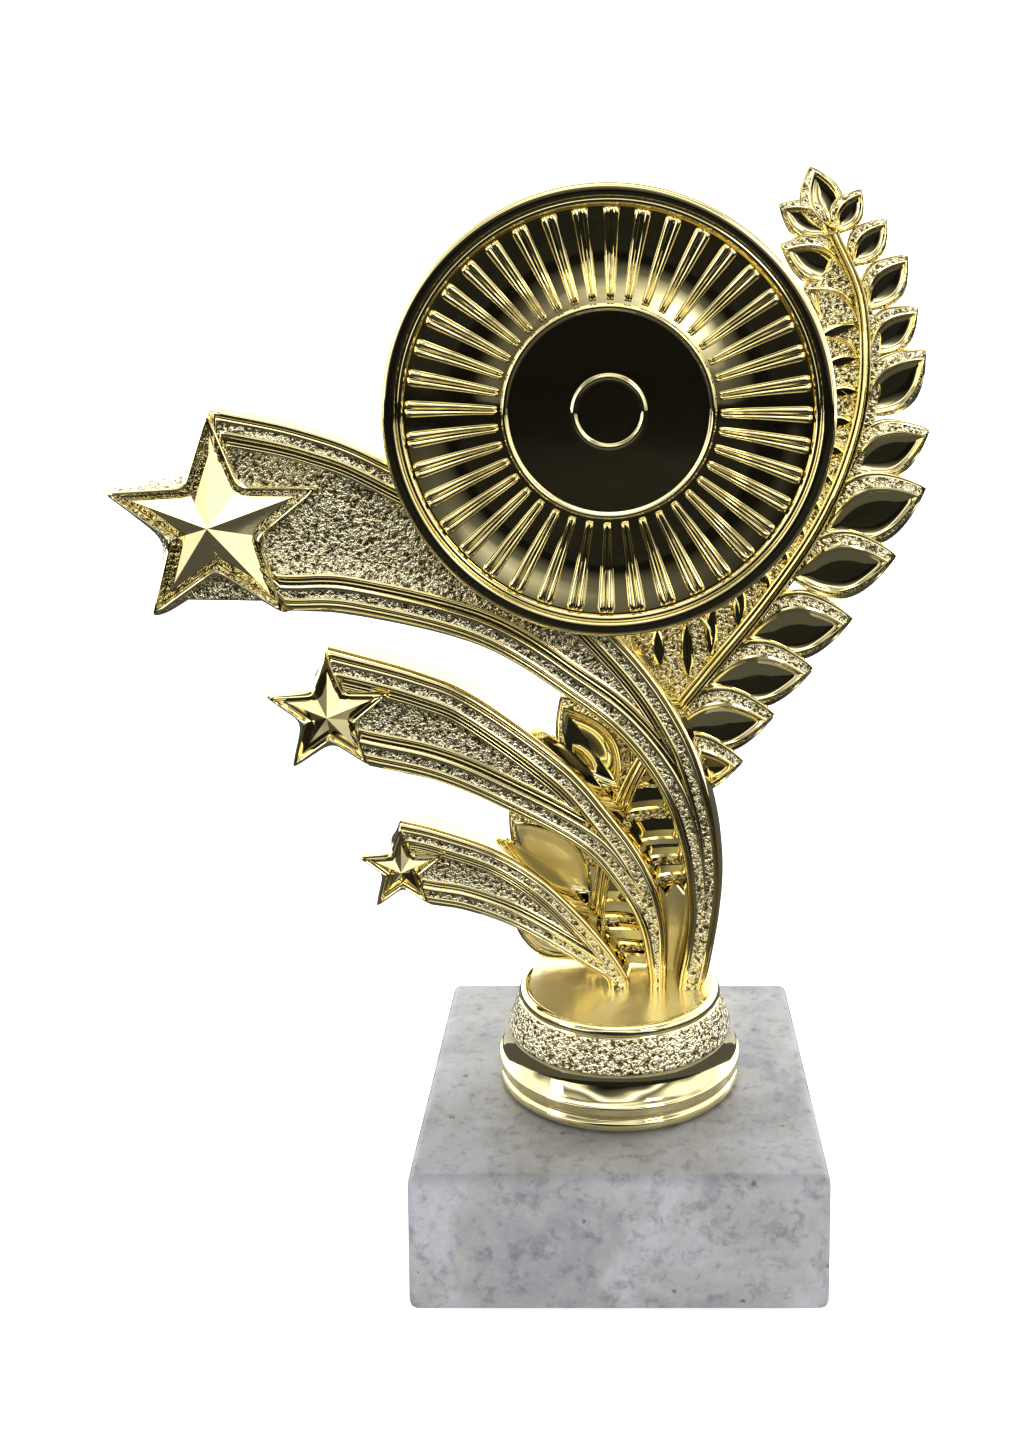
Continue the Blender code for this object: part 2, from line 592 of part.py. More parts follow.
def make_disc(gold):
    """The disc: a rounded rim, a ribbed ring that slopes down to a flat hub, and pegs at its back."""
    face = DISC_BACK - DISC_FLOOR
    rim = DISC_RADIUS - RIM_WIDTH / 2
    inner = DISC_RADIUS - RIM_WIDTH
    arc = []
    for step in range(RIM_STEPS - 1, -1, -1):
        angle = step * math.pi / RIM_STEPS
        depth = RIM_WIDTH / 2 * (1 - math.sin(angle))
        arc.append((rim + RIM_WIDTH / 2 * math.cos(angle), DISC_FRONT + depth))
    rib_start = HUB_RADIUS + RIB_END_GAP
    rib_end = inner - RIB_END_GAP
    rise = (DISC_DEPTH - DISC_FLOOR) / 3
    hub = [(0, face), (HUB_RADIUS - HUB_BEAD, face), (HUB_RADIUS, face - HUB_BEAD),
           (HUB_RADIUS + HUB_BEAD, face), (rib_start, face)]
    ribbed = [(rib_start + RIB_HEIGHT, face), (rib_end - RIB_HEIGHT, face - rise)]
    edge = [(rib_end, face - rise), (inner, face - rise), *arc, (DISC_RADIUS - DISC_BACK_CHAMFER, DISC_BACK),
            (0, DISC_BACK)]
    ribbed_points = range(len(hub), len(hub) + len(ribbed))

    def ribs(number, turn):
        return -RIB_HEIGHT if number in ribbed_points and turn % 2 == 0 else 0.0

    centre = (DISC_CENTRE[0], 0.0, FIGURE_BOTTOM + DISC_CENTRE[1])
    disc = new_object("ribbed_disc", turned(hub + ribbed + edge, 2 * RIB_COUNT, "Y", centre, ribs), gold)
    sunk = DISC_BACK - DISC_FLOOR / 2
    for number, share in enumerate(DISC_PEG_SHARES):
        point = arm_point(ARMS["star_arm_large"], share)
        peg(disc, f"disc_peg_{number}", point, sunk, ARM_FRONT + PANEL_DEPTH + PEG_LENGTH)
    for number, point in enumerate(DISC_TO_LAUREL_PEGS):
        peg(disc, f"disc_post_{number}", in_row(point), sunk, LAUREL_FRONT + LEAF_DEPTH + PEG_LENGTH / 2)
    smooth(disc, 25.0)


def main():
    """Builds the whole trophy, from the block up."""
    clear_scene()
    gold = material("plated_gold", (0.83, 0.70, 0.36), 1.0, 0.15)
    steel = material("zinc_steel", (0.62, 0.63, 0.65), 1.0, 0.35)
    marble = material("grey_marble", (0.62, 0.63, 0.66), 0.0, 0.25)
    felt = material("dark_felt", (0.03, 0.05, 0.04), 0.0, 0.95)
    make_base(marble, felt)
    make_fasteners(steel)
    make_collar(gold)
    make_arms(gold)
    make_laurel(gold)
    make_disc(gold)


main()
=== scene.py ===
"""Star trophy: the finished look of three shooting stars, a ribbed disc and a laurel on a collar and a block.

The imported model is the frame. Every piece here stands for one of its nodes or dresses one, and rides on it.
Metres, +Z up, front towards -Y. The layouts of the figure are flat, in millimetres from the middle of the
collar and from a level just below its top.
"""

import logging
import math
from collections.abc import Callable, Iterable, Sequence
from dataclasses import dataclass, field
from enum import IntEnum

import bmesh
import bpy
from mathutils import Matrix, Vector


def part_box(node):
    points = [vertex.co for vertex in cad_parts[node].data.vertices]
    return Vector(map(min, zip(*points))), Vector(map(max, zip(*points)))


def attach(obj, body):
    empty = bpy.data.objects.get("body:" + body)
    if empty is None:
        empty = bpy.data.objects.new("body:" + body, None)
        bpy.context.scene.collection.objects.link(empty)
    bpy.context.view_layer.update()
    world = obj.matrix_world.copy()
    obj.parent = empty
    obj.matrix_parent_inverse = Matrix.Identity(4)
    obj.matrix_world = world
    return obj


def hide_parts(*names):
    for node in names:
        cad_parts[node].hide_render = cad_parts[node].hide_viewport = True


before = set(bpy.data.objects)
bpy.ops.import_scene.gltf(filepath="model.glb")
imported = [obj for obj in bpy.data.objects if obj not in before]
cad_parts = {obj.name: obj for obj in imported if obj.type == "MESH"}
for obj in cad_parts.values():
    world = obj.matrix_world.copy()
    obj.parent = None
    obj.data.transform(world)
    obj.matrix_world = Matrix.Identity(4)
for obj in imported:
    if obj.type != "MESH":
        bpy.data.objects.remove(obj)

MM = 0.001
GAP = 0.3 * MM  # between two layers of the figure that touch
ROOT = "root"
FACET_HEIGHT = 3.0 * MM  # from the arms' front to a star's apex
FIGURE_DROP = 0.6 * MM  # the figure's heights start this far below the collar's top
DISC_CENTRE = (-1.6, 93.7)
DISC_RADIUS = 34.7
LOG = logging.getLogger("trophy")

Point = tuple[float, float]
Colour = tuple[float, float, float]
Ring = list[Vector]

WHITE = (1.0, 1.0, 1.0)
WINDOW_LIGHT = (0.95, 0.97, 1.0)


class Surface(IntEnum):
    """The finishes of a plated piece, in the order of its material slots."""

    POLISHED = 0
    STIPPLED = 1
    SATIN = 2


# ---------------------------------------------------------------- shader tools


class Signal:
    """A shader socket that takes part in Python expressions."""

    def __init__(self, tree: bpy.types.NodeTree, socket: bpy.types.NodeSocket) -> None:
        """Wraps a socket of a node tree."""
        self.tree = tree
        self.socket = socket

    def _math(self, operation: str, first: "Signal | float", second: "Signal | float") -> "Signal":
        """Adds one Math node.

        Args:
            operation: the Math node's operation.
            first: its first value.
            second: its second value.

        Returns:
            The node's result.
        """
        node = self.tree.nodes.new("ShaderNodeMath")
        node.operation = operation
        for entry, value in zip(node.inputs, (first, second)):
            if isinstance(value, Signal):
                self.tree.links.new(value.socket, entry)
            else:
                entry.default_value = value
        return Signal(self.tree, node.outputs[0])

    def __add__(self, other: "Signal | float") -> "Signal":
        """self + other."""
        return self._math("ADD", self, other)

    def __radd__(self, other: float) -> "Signal":
        """other + self."""
        return self._math("ADD", other, self)

    def __rsub__(self, other: float) -> "Signal":
        """other - self."""
        return self._math("SUBTRACT", other, self)

    def __mul__(self, other: "Signal | float") -> "Signal":
        """self * other."""
        return self._math("MULTIPLY", self, other)

    def __rmul__(self, other: float) -> "Signal":
        """other * self."""
        return self._math("MULTIPLY", other, self)

    def __pow__(self, other: float) -> "Signal":
        """self to a power."""
        return self._math("POWER", self, other)

    def above(self, level: float) -> "Signal":
        """One where the value is over the level, and zero elsewhere."""
        return self._math("GREATER_THAN", self, level)


class NodeKit:
    """A node tree of a material or of the world, and the one way in which it gets its nodes."""

    def __init__(self, tree: bpy.types.NodeTree) -> None:
        """Takes the node tree."""
        self.tree = tree

    def node(self, kind: str, settings: dict | None = None, inputs: dict | None = None) -> bpy.types.Node:
        """Adds a node.

        Args:
            kind: the node's type.
            settings: its own settings, which are set first.
            inputs: the value or the link of each named socket.

        Returns:
            The node.
        """
        made = self.tree.nodes.new(kind)
        for name, value in (settings or {}).items():
            setattr(made, name, value)
        for name, value in (inputs or {}).items():
            self.feed(made.inputs[name], value)
        return made

    def feed(self, entry: bpy.types.NodeSocket, value: object) -> None:
        """Links a socket to a signal or another socket, or sets its value."""
        if isinstance(value, Signal):
            value = value.socket
        if isinstance(value, bpy.types.NodeSocket):
            self.tree.links.new(value, entry)
        else:
            entry.default_value = value

    def signal(self, socket: bpy.types.NodeSocket) -> Signal:
        """A socket of this tree, ready for expressions."""
        return Signal(self.tree, socket)

    def ramp(self, value: Signal, stops: Sequence[tuple[float, Colour]]) -> bpy.types.NodeSocket:
        """Colours along a value.

        Args:
            value: what the ramp reads.
            stops: the place and the colour of each stop, in order.

        Returns:
            The ramp's colour socket.
        """
        made = self.node("ShaderNodeValToRGB", inputs={"Fac": value})
        elements = made.color_ramp.elements
        while len(elements) < len(stops):
            elements.new(1.0)
        for element, (place, colour) in zip(elements, stops):
            element.position = place
            element.color = (*colour, 1.0)
        return made.outputs["Color"]

    def mix(self, factor: object, first: object, second: object, blend: str = "MIX") -> bpy.types.NodeSocket:
        """Mixes two colours. Plain colours are given as three numbers.

        Args:
            factor: how much of the second colour there is.
            first: the first colour.
            second: the second colour.
            blend: the node's way of mixing.

        Returns:
            The mixed colour's socket.
        """
        made = self.node("ShaderNodeMix", {"data_type": "RGBA", "blend_type": blend})
        self.feed(made.inputs[0], factor)
        for entry, value in zip((made.inputs[6], made.inputs[7]), (first, second)):
            self.feed(entry, (*value, 1.0) if isinstance(value, tuple) else value)
        return made.outputs[2]


class FinishTree(NodeKit):
    """A material's node tree while its finish is laid out."""

    def __init__(self, name: str) -> None:
        """Makes the material, with a Principled shader and its output."""
        self.material = bpy.data.materials.new(name)
        self.material.use_nodes = True
        super().__init__(self.material.node_tree)
        self.shader = self.tree.nodes["Principled BSDF"]
        self.place = self.node("ShaderNodeTexCoord").outputs["Object"]

    def shade(self, **values: object) -> None:
        """Feeds sockets of the Principled shader, named with underscores for spaces."""
        for name, value in values.items():
            self.feed(self.shader.inputs[name.replace("_", " ").title()], value)

    def noise(self, size: float, detail: float = 2.0, roughness: float = 0.5,
              distortion: float = 0.0) -> Signal:
        """Noise over the piece.

        Args:
            size: of its features, about, in metres.
            detail: how many finer layers it has.
            roughness: how strong those are.
            distortion: how far it is warped.

        Returns:
            Its value, from 0 to 1.
        """
        made = self.node("ShaderNodeTexNoise", inputs={
            "Vector": self.place, "Scale": 1 / size, "Detail": detail, "Roughness": roughness,
            "Distortion": distortion})
        return self.signal(made.outputs["Fac"])

    def cells(self, size: float) -> bpy.types.Node:
        """Voronoi cells of about that size in metres."""
        return self.node("ShaderNodeTexVoronoi", inputs={"Vector": self.place, "Scale": 1 / size})

    def bump(self, height: Signal, depth: float) -> bpy.types.NodeSocket:
        """A normal bent by a height of that depth in metres."""
        made = self.node("ShaderNodeBump", inputs={"Strength": 1.0, "Distance": depth, "Height": height})
        return made.outputs["Normal"]


@dataclass(frozen=True)
class PlatedGold:
    """Vacuum-plated plastic: a pale mirror with the faint unevenness of the moulding below it."""

    name: str = "gold_polished"
    colour: Colour = (0.92, 0.82, 0.46)
    deep_colour: Colour = (0.86, 0.74, 0.36)
    roughness: float = 0.035
    wave_size: float = 9.0 * MM
    wave_depth: float = 0.03 * MM
    metallic: float = 1.0

    def make(self) -> bpy.types.Material:
        """The material."""
        tree = FinishTree(self.name)
        cloud = tree.noise(self.wave_size, 2.0)
        haze = tree.noise(1.2 * MM, 3.0)
        tree.shade(base_color=tree.mix(cloud, self.colour, self.deep_colour), metallic=self.metallic,
                   roughness=self.roughness + 0.04 * haze,
                   normal=tree.bump(cloud, self.wave_depth))
        return tree.material


@dataclass(frozen=True)
class StippledGold:
    """The same plating over a sand-blasted part of the mould, which sparkles."""

    name: str = "gold_stippled"
    colour: Colour = (0.98, 0.90, 0.60)
    shadow: Colour = (0.12, 0.09, 0.03)
    grain: float = 0.60 * MM
    depth: float = 0.56 * MM
    roughness: float = 0.13

    def make(self) -> bpy.types.Material:
        """The material."""
        tree = FinishTree(self.name)
        grains = tree.noise(self.grain, 1.5, 0.55, 0.4)
        fine = tree.noise(self.grain * 0.45, 1.0)
        height = grains + 0.35 * fine
        tone = tree.ramp(grains, [(0.38, self.shadow), (0.53, self.colour)])
        tree.shade(base_color=tone, metallic=1.0, roughness=self.roughness,
                   normal=tree.bump(height, self.depth))
        return tree.material


@dataclass(frozen=True)
class BlockMarble:
    """Pale grey marble, cut and polished: clouds, grey mottles, crystals and dark specks."""

    name: str = "grey_marble"
    light: Colour = (0.46, 0.46, 0.49)
    grey: Colour = (0.27, 0.28, 0.31)
    warm: Colour = (0.39, 0.38, 0.37)
    speck: Colour = (0.16, 0.16, 0.18)

    def make(self) -> bpy.types.Material:
        """The material."""
        tree = FinishTree(self.name)
        clouds = tree.noise(17 * MM, 3.0, 0.6, 0.8)
        mottles = tree.noise(2.4 * MM, 5.0, 0.7, 0.3)
        crystals = tree.cells(0.75 * MM)
        specks = tree.signal(tree.cells(5.5 * MM).outputs["Distance"])
        scatter = tree.noise(1.1 * MM, 2.0)
        base = tree.ramp(clouds, [(0.30, self.grey), (0.48, self.warm), (0.62, self.light)])
        dark = tree.ramp(mottles, [(0.36, (0.60, 0.61, 0.65)), (0.48, (0.95, 0.95, 0.96)), (0.7, WHITE)])
        body = tree.mix(0.8, base, dark, "MULTIPLY")
        sparkle = tree.ramp(tree.signal(crystals.outputs["Color"]),
                            [(0.0, (0.90, 0.90, 0.91)), (1.0, (1.08, 1.08, 1.08))])
        body = tree.mix(0.7, body, sparkle, "MULTIPLY")
        mask = (1 - specks.above(0.09)) * scatter.above(0.5)
        body = tree.mix(mask, body, self.speck)
        tree.shade(base_color=body, roughness=0.22 + 0.16 * mottles,
                   normal=tree.bump(mottles + 0.5 * scatter, 0.02 * MM))
        tree.shader.inputs["Specular IOR Level"].default_value = 0.22
        return tree.material


@dataclass(frozen=True)
class PressedFelt:
    """Dark green felt, pressed flat, with short fibres."""

    name: str = "green_felt"
    dark: Colour = (0.010, 0.030, 0.018)
    light: Colour = (0.030, 0.070, 0.042)

    def make(self) -> bpy.types.Material:
        """The material."""
        tree = FinishTree(self.name)
        fibres = tree.noise(0.25 * MM, 4.0, 0.7, 1.5)
        tree.shade(base_color=tree.ramp(fibres, [(0.35, self.dark), (0.65, self.light)]),
                   roughness=0.9 + 0.1 * fibres, normal=tree.bump(fibres, 0.15 * MM))
        tree.shader.inputs["Sheen Weight"].default_value = 0.3
        return tree.material


@dataclass(frozen=True)
class ZincSteel:
    """Zinc-plated steel with fine turning marks."""

    name: str = "zinc_steel"
    bright: Colour = (0.66, 0.67, 0.69)
    dull: Colour = (0.46, 0.47, 0.50)

    def make(self) -> bpy.types.Material:
        """The material."""
        tree = FinishTree(self.name)
        spangle = tree.noise(1.6 * MM, 3.0)
        marks = tree.noise(0.12 * MM, 1.0)
        tree.shade(base_color=tree.ramp(spangle, [(0.35, self.dull), (0.65, self.bright)]), metallic=1.0,
                   roughness=0.26 + 0.2 * spangle, normal=tree.bump(marks, 0.01 * MM))
        return tree.material


@dataclass(frozen=True)
class PaleFloor:
    """A plain pale table top, lit from within."""

    name: str = "pale_floor"
    colour: Colour = (0.93, 0.93, 0.93)
    glow: float = 0.75

    def make(self) -> bpy.types.Material:
        """The material."""
        tree = FinishTree(self.name)
        patches = tree.noise(60 * MM, 2.0)
        tone = tree.mix(0.1 * patches, self.colour, (0.85, 0.85, 0.85))
        tree.shade(base_color=tone, roughness=0.6, emission_color=tone)
        tree.shader.inputs["Emission Strength"].default_value = self.glow
        return tree.material


@dataclass(frozen=True)
class FlagCloth:
    """Black studio cloth, which may glow a little."""

    name: str = "flag_cloth"
    light: Colour = (0.02, 0.02, 0.02)
    dark: Colour = (0.008, 0.008, 0.008)
    glow: float = 0.0

    def make(self) -> bpy.types.Material:
        """The material."""
        tree = FinishTree(self.name)
        tree.shade(base_color=tree.mix(tree.noise(100 * MM), self.light, self.dark), roughness=1.0)
        if self.glow:
            tree.shade(emission_color=tree.mix(tree.noise(80 * MM), (0.7, 0.7, 0.7), WHITE))
            tree.shader.inputs["Emission Strength"].default_value = self.glow
        tree.shader.inputs["Specular IOR Level"].default_value = 0.0
        return tree.material


# ---------------------------------------------------------------- modelling tools


class Shell:
    """A closed shell modelled from a circle: ring after ring of edges is extruded, then the ends close."""

    def __init__(self, name: str, ring: Ring) -> None:
        """Adds the first ring.

        Args:
            name: the piece's name.
            ring: the places of its corners, in order.
        """
        bpy.ops.object.select_all(action="DESELECT")
        bpy.ops.mesh.primitive_circle_add(vertices=len(ring), radius=1.0, fill_type="NOTHING")
        self.obj = bpy.context.active_object
        self.obj.name = name
        self.obj.data.name = name
        bpy.ops.object.mode_set(mode="EDIT")
        self.last = self._walk()
        self.first = list(self.last)
        self._place(ring)

    @classmethod
    def through(cls, name: str, rings: Iterable[tuple[Ring, "Surface | Sequence[Surface]"]]) -> "Shell":
        """Models a shell ring after ring.

        Args:
            name: the piece's name.
            rings: the places of each ring's corners, and the finish of the faces that lead up to it.

        Returns:
            The shell, still open at its last ring.
        """
        (first, _), *others = rings
        shell = cls(name, first)
        for ring, surface in others:
            shell.grow(ring, surface)
        return shell

    def _mesh(self) -> bmesh.types.BMesh:
        """The mesh being edited, ready for lookups."""
        mesh = bmesh.from_edit_mesh(self.obj.data)
        mesh.verts.ensure_lookup_table()
        return mesh

    def _walk(self) -> list[int]:
        """The circle's corners in order round it."""
        mesh = self._mesh()
        order = [0]
        came_from = -1
        while len(order) < len(mesh.verts):
            near = [edge.other_vert(mesh.verts[order[-1]]).index for edge in mesh.verts[order[-1]].link_edges]
            step = next(index for index in near if index != came_from and index not in order[1:])
            came_from = order[-1]
            order.append(step)
        return order

    def _place(self, ring: Ring) -> None:
        """Moves the last ring's corners to their places."""
        mesh = self._mesh()
        for index, place in zip(self.last, ring):
            mesh.verts[index].co = place
        bmesh.update_edit_mesh(self.obj.data)

    def _select(self, corners: Sequence[int]) -> None:
        """Selects only the edges of one ring."""
        bpy.ops.mesh.select_all(action="DESELECT")
        mesh = self._mesh()
        for one, two in zip(corners, [*corners[1:], corners[0]]):
            edge = mesh.edges.get((mesh.verts[one], mesh.verts[two]))
            edge.select_set(True)
        bmesh.update_edit_mesh(self.obj.data)

    def grow(self, ring: Ring, surface: Surface | Sequence[Surface] = Surface.POLISHED) -> None:
        """Extrudes the last ring and moves the new one to its place.

        Args:
            ring: the places of the new corners.
            surface: the finish of the new faces, for all of them or for each.
        """
        old = self.last
        self._select(old)
        bpy.ops.mesh.extrude_edges_move()
        mesh = self._mesh()
        fresh = []
        for index in old:
            corner = mesh.verts[index]
            near = [edge.other_vert(corner) for edge in corner.link_edges]
            fresh.append(next(other.index for other in near if other.select))
        finishes = [surface] * len(ring) if isinstance(surface, Surface) else surface
        for one, two, finish in zip(fresh, [*fresh[1:], fresh[0]], finishes):
            edge = mesh.edges.get((mesh.verts[one], mesh.verts[two]))
            for face in edge.link_faces:
                face.material_index = finish
        self.last = fresh
        self._place(ring)

    def point(self, place: Vector) -> None:
        """Draws the last ring together at one point."""
        self._place([place] * len(self.last))

    def cap(self, ring: Sequence[int] | None = None) -> None:
        """Closes a ring with one face. Without a ring it closes the last one."""
        self._select(self.last if ring is None else ring)
        bpy.ops.mesh.edge_face_add()

    def finish(self, materials: Sequence[bpy.types.Material], angle: float,
               weld: float = 0.004 * MM) -> bpy.types.Object:
        """Closes the first ring, cleans the mesh and dresses it.

        Args:
            materials: its material slots.
            angle: edges sharper than this stay sharp, in degrees.
            weld: corners nearer than this become one.

        Returns:
            The finished object.
        """
        self.cap(self.first)
        bpy.ops.mesh.select_all(action="SELECT")
        bpy.ops.mesh.remove_doubles(threshold=weld)
        bpy.ops.mesh.select_all(action="SELECT")
        bpy.ops.mesh.normals_make_consistent(inside=False)
        bpy.ops.object.mode_set(mode="OBJECT")
        for material in materials:
            self.obj.data.materials.append(material)
        shade(self.obj, angle)
        return self.obj


def shade(obj: bpy.types.Object, angle: float) -> None:
    """Shades an object smooth except over that angle in degrees."""
    bpy.ops.object.select_all(action="DESELECT")
    obj.select_set(True)
    bpy.context.view_layer.objects.active = obj
    bpy.ops.object.shade_smooth_by_angle(angle=math.radians(angle))


def apply_modifiers(obj: bpy.types.Object) -> None:
    """Applies every modifier of an object, in order."""
    bpy.ops.object.select_all(action="DESELECT")
    obj.select_set(True)
    bpy.context.view_layer.objects.active = obj
    for modifier in list(obj.modifiers):
        bpy.ops.object.modifier_apply(modifier=modifier.name)


def copy_of(obj: bpy.types.Object, name: str, move: Callable[[Vector], Vector]) -> bpy.types.Object:
    """Copies a piece.

    Args:
        obj: the piece.
        name: the copy's name.
        move: the rule that gives each corner its new place.

    Returns:
        The copy, with a mesh of its own.
    """
    twin = obj.copy()
    twin.data = obj.data.copy()
    twin.name = name
    twin.data.name = name
    bpy.context.scene.collection.objects.link(twin)
    for vert in twin.data.vertices:
        vert.co = move(vert.co)
    return twin


def joined(pieces: Sequence[bpy.types.Object], name: str) -> bpy.types.Object:
    """Joins pieces into one object."""
    bpy.ops.object.select_all(action="DESELECT")
    for piece in pieces:
        piece.select_set(True)
    bpy.context.view_layer.objects.active = pieces[0]
    bpy.ops.object.join()
    pieces[0].name = name
    pieces[0].data.name = name
    return pieces[0]


def settle(obj: bpy.types.Object, slot: str, *nodes: str) -> bpy.types.Object:
    """Lets a piece ride on the trophy in place of its nodes, and reports it."""
    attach(obj, ROOT)
    if nodes:
        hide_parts(*nodes)
    LOG.info("%s: %d faces, for %s", obj.name, len(obj.data.polygons), ", ".join(nodes) or "a detail")
    return obj


def gild(obj: bpy.types.Object, *nodes: str) -> bpy.types.Object:
    """Settles a plated piece in place of its nodes."""
    return settle(obj, "plated_gold", *nodes)


def curve_through(points: Sequence[Point]) -> list[Vector]:
    """A smooth Catmull-Rom curve through points in the figure's plane."""
    steps = 8
    knots = [Vector(point) for point in points]
    ends = [knots[0] * 2 - knots[1], *knots, knots[-1] * 2 - knots[-2]]
    curve = []
    for before, start, end, after in zip(ends, ends[1:], ends[2:], ends[3:]):
        slope = end - before
        bend = 2 * before - 5 * start + 4 * end - after
        twist = 3 * start - before - 3 * end + after
        for step in range(steps):
            t = step / steps
            curve.append(0.5 * (2 * start + slope * t + bend * t**2 + twist * t**3))
    curve.append(knots[-1])
    return curve


def evenly(curve: Sequence[Vector], count: int) -> list[Vector]:
    """The curve as that many points, the same distance apart."""
    lengths = [0.0]
    for start, end in zip(curve, curve[1:]):
        lengths.append(lengths[-1] + (end - start).length)
    spaced = []
    piece = 0
    for number in range(count):
        goal = lengths[-1] * number / (count - 1)
        while piece < len(curve) - 2 and lengths[piece + 1] < goal:
            piece += 1
        share = (goal - lengths[piece]) / (lengths[piece + 1] - lengths[piece])
        spaced.append(curve[piece].lerp(curve[piece + 1], share))
    return spaced


def between(table: Sequence[Point], place: float) -> float:
    """The second value at a place along the first, straight between the entries."""
    if place <= table[0][0]:
        return table[0][1]
    for (low, one), (high, two) in zip(table, table[1:]):
        if place <= high:
            return one + (two - one) * (place - low) / max(high - low, 1e-9)
    return table[-1][1]


@dataclass(frozen=True)
class Levels:
    """Places of the trophy's layers, read from the frame, in metres."""

    figure_bottom: float
    arm_front: float
    arm_back: float
    laurel_front: float
    laurel_back: float
    disc_front: float
    disc_back: float

    @classmethod
    def from_frame(cls) -> "Levels":
        """Reads the layers from the nodes' boxes."""
        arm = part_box("star_arm_large")
        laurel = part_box("laurel_spray")
        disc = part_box("ribbed_disc")
        arm_front = arm[0].y + FACET_HEIGHT
        return cls(figure_bottom=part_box("collar")[1].z - FIGURE_DROP, arm_front=arm_front, arm_back=arm[1].y,
                   laurel_front=arm[1].y + GAP, laurel_back=laurel[1].y,
                   disc_front=disc[0].y, disc_back=arm_front - GAP)

    def place(self, point: Vector | Point, depth: float) -> Vector:
        """A point of the figure's plane in millimetres, at a depth in metres."""
        return Vector((point[0] * MM, depth, self.figure_bottom + point[1] * MM))


@dataclass(frozen=True)
class Golds:
    """The three plated finishes, in slot order."""

    polished: bpy.types.Material
    stippled: bpy.types.Material
    satin: bpy.types.Material

    def slots(self) -> list[bpy.types.Material]:
        """The material slots of a plated piece."""
        return [self.polished, self.stippled, self.satin]


def plate(levels: Levels, golds: Golds, name: str, outline: Sequence[Point], depths: Point,
          surface: Surface) -> bpy.types.Object:
    """Models a flat plate with a soft edge from a circle laid along its outline.

    Args:
        levels: the trophy's layers.
        golds: its finishes.
        name: the piece's name.
        outline: its corners in the figure's plane, in millimetres.
        depths: where its front and its back are, in metres.
        surface: the finish of its front.

    Returns:
        The plate.
    """
    softness = 0.3
    corners = [Vector(point) for point in outline]
    flat = []
    for start, end in zip(corners, [*corners[1:], corners[0]]):
        flat += [start, start.lerp(end, 0.5)]
    front, back = depths
    shell = Shell(name, [levels.place(spot, back) for spot in flat])
    shell.grow([levels.place(spot, front + softness * MM) for spot in flat])
    turn = sum(one.cross(two) for one, two in zip(flat, [*flat[1:], flat[0]]))
    inward = []
    for index, spot in enumerate(flat):
        along = (flat[(index + 1) % len(flat)] - flat[index - 1]).normalized()
        inward.append(spot + Vector((-along.y, along.x)) * math.copysign(softness, turn))
    shell.grow([levels.place(spot, front) for spot in inward])
    shell.cap()
    mesh = bmesh.from_edit_mesh(shell.obj.data)
    for face in mesh.faces:
        face.material_index = surface if len(face.verts) > 4 else Surface.POLISHED
    return shell.finish(golds.slots(), 30.0)


# ---------------------------------------------------------------- sub-assemblies


@dataclass
class Collar:
    """The turned collar: foot ring, groove, lip, polished cove, stippled band, bead and satin top."""

    golds: Golds
    steps: int = 128
    top_edge: float = 14.6
    top_rings: tuple[float, ...] = (13.5, 10.0, 5.0, 1.0)
    top_doming: float = 0.1
    base: float = field(init=False)
    top: float = field(init=False)

    def __post_init__(self) -> None:
        """Takes the collar's height from its node."""
        low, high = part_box("collar")
        self.base = low.z
        self.top = high.z

    def profile(self) -> list[tuple[float, float, Surface]]:
        """The turning from its foot to its top: radius, height over the block, and finish up to there."""
        full = 14.9
        foot = [(18.6, 0.0), (19.1, 0.08), (19.35, 0.35), (19.42, 0.8), (19.38, 1.25), (19.2, 1.55),
                (19.02, 1.7), (18.95, 1.9), (19.0, 2.15)]
        lip = [(19.25, 2.35), (19.5, 2.6), (19.58, 3.0), (19.52, 3.3), (19.56, 3.45), (19.6, 3.7),
               (19.54, 3.95), (19.38, 4.12), (19.15, 4.25)]
        cove = [(19.1 - 1.25 * share - 0.30 * math.sin(math.pi * share), 4.3 + 3.9 * share)
                for share in (step / 8 for step in range(1, 9))]
        waist = [(17.95, 8.3)]
        band = [(18.02, 8.45), (17.95, 8.7), (17.6, 9.8), (17.15, 11.1), (16.65, 12.4), (16.35, 13.15)]
        crown = [(16.15, 13.3), (16.12, 13.45), (16.22, 13.6), (16.24, 13.9), (16.15, 14.25), (15.95, 14.6),
                 (15.65, 14.82), (15.3, full), (15.1, 14.84), (14.95, 14.7), (self.top_edge, 14.64)]
        height = (self.top - self.base) / MM
        outline = [(*spot, Surface.POLISHED) for spot in (*foot, *lip, *cove, *waist)]
        outline += [(*spot, Surface.STIPPLED) for spot in band]
        outline += [(*spot, Surface.POLISHED) for spot in crown]
        return [(radius, place * height / full, finish) for radius, place, finish in outline]

    def ring(self, radius: float, height: float) -> Ring:
        """A ring of the turning, of a radius and at a height in millimetres."""
        angles = [2 * math.pi * step / self.steps for step in range(self.steps)]
        level = self.base + height * MM
        return [Vector((radius * MM * math.cos(angle), radius * MM * math.sin(angle), level))
                for angle in angles]

    def build(self) -> bpy.types.Object:
        """Models the collar."""
        outline = self.profile()
        top = outline[-1][1]
        rings = [(self.ring(radius, height), finish) for radius, height, finish in outline]
        for radius in self.top_rings:
            height = top + self.top_doming * (1 - radius / self.top_edge)
            rings.append((self.ring(radius, height), Surface.SATIN))
        shell = Shell.through("collar_turning", rings)
        shell.cap()
        return gild(shell.finish(self.golds.slots(), 50.0), "collar")


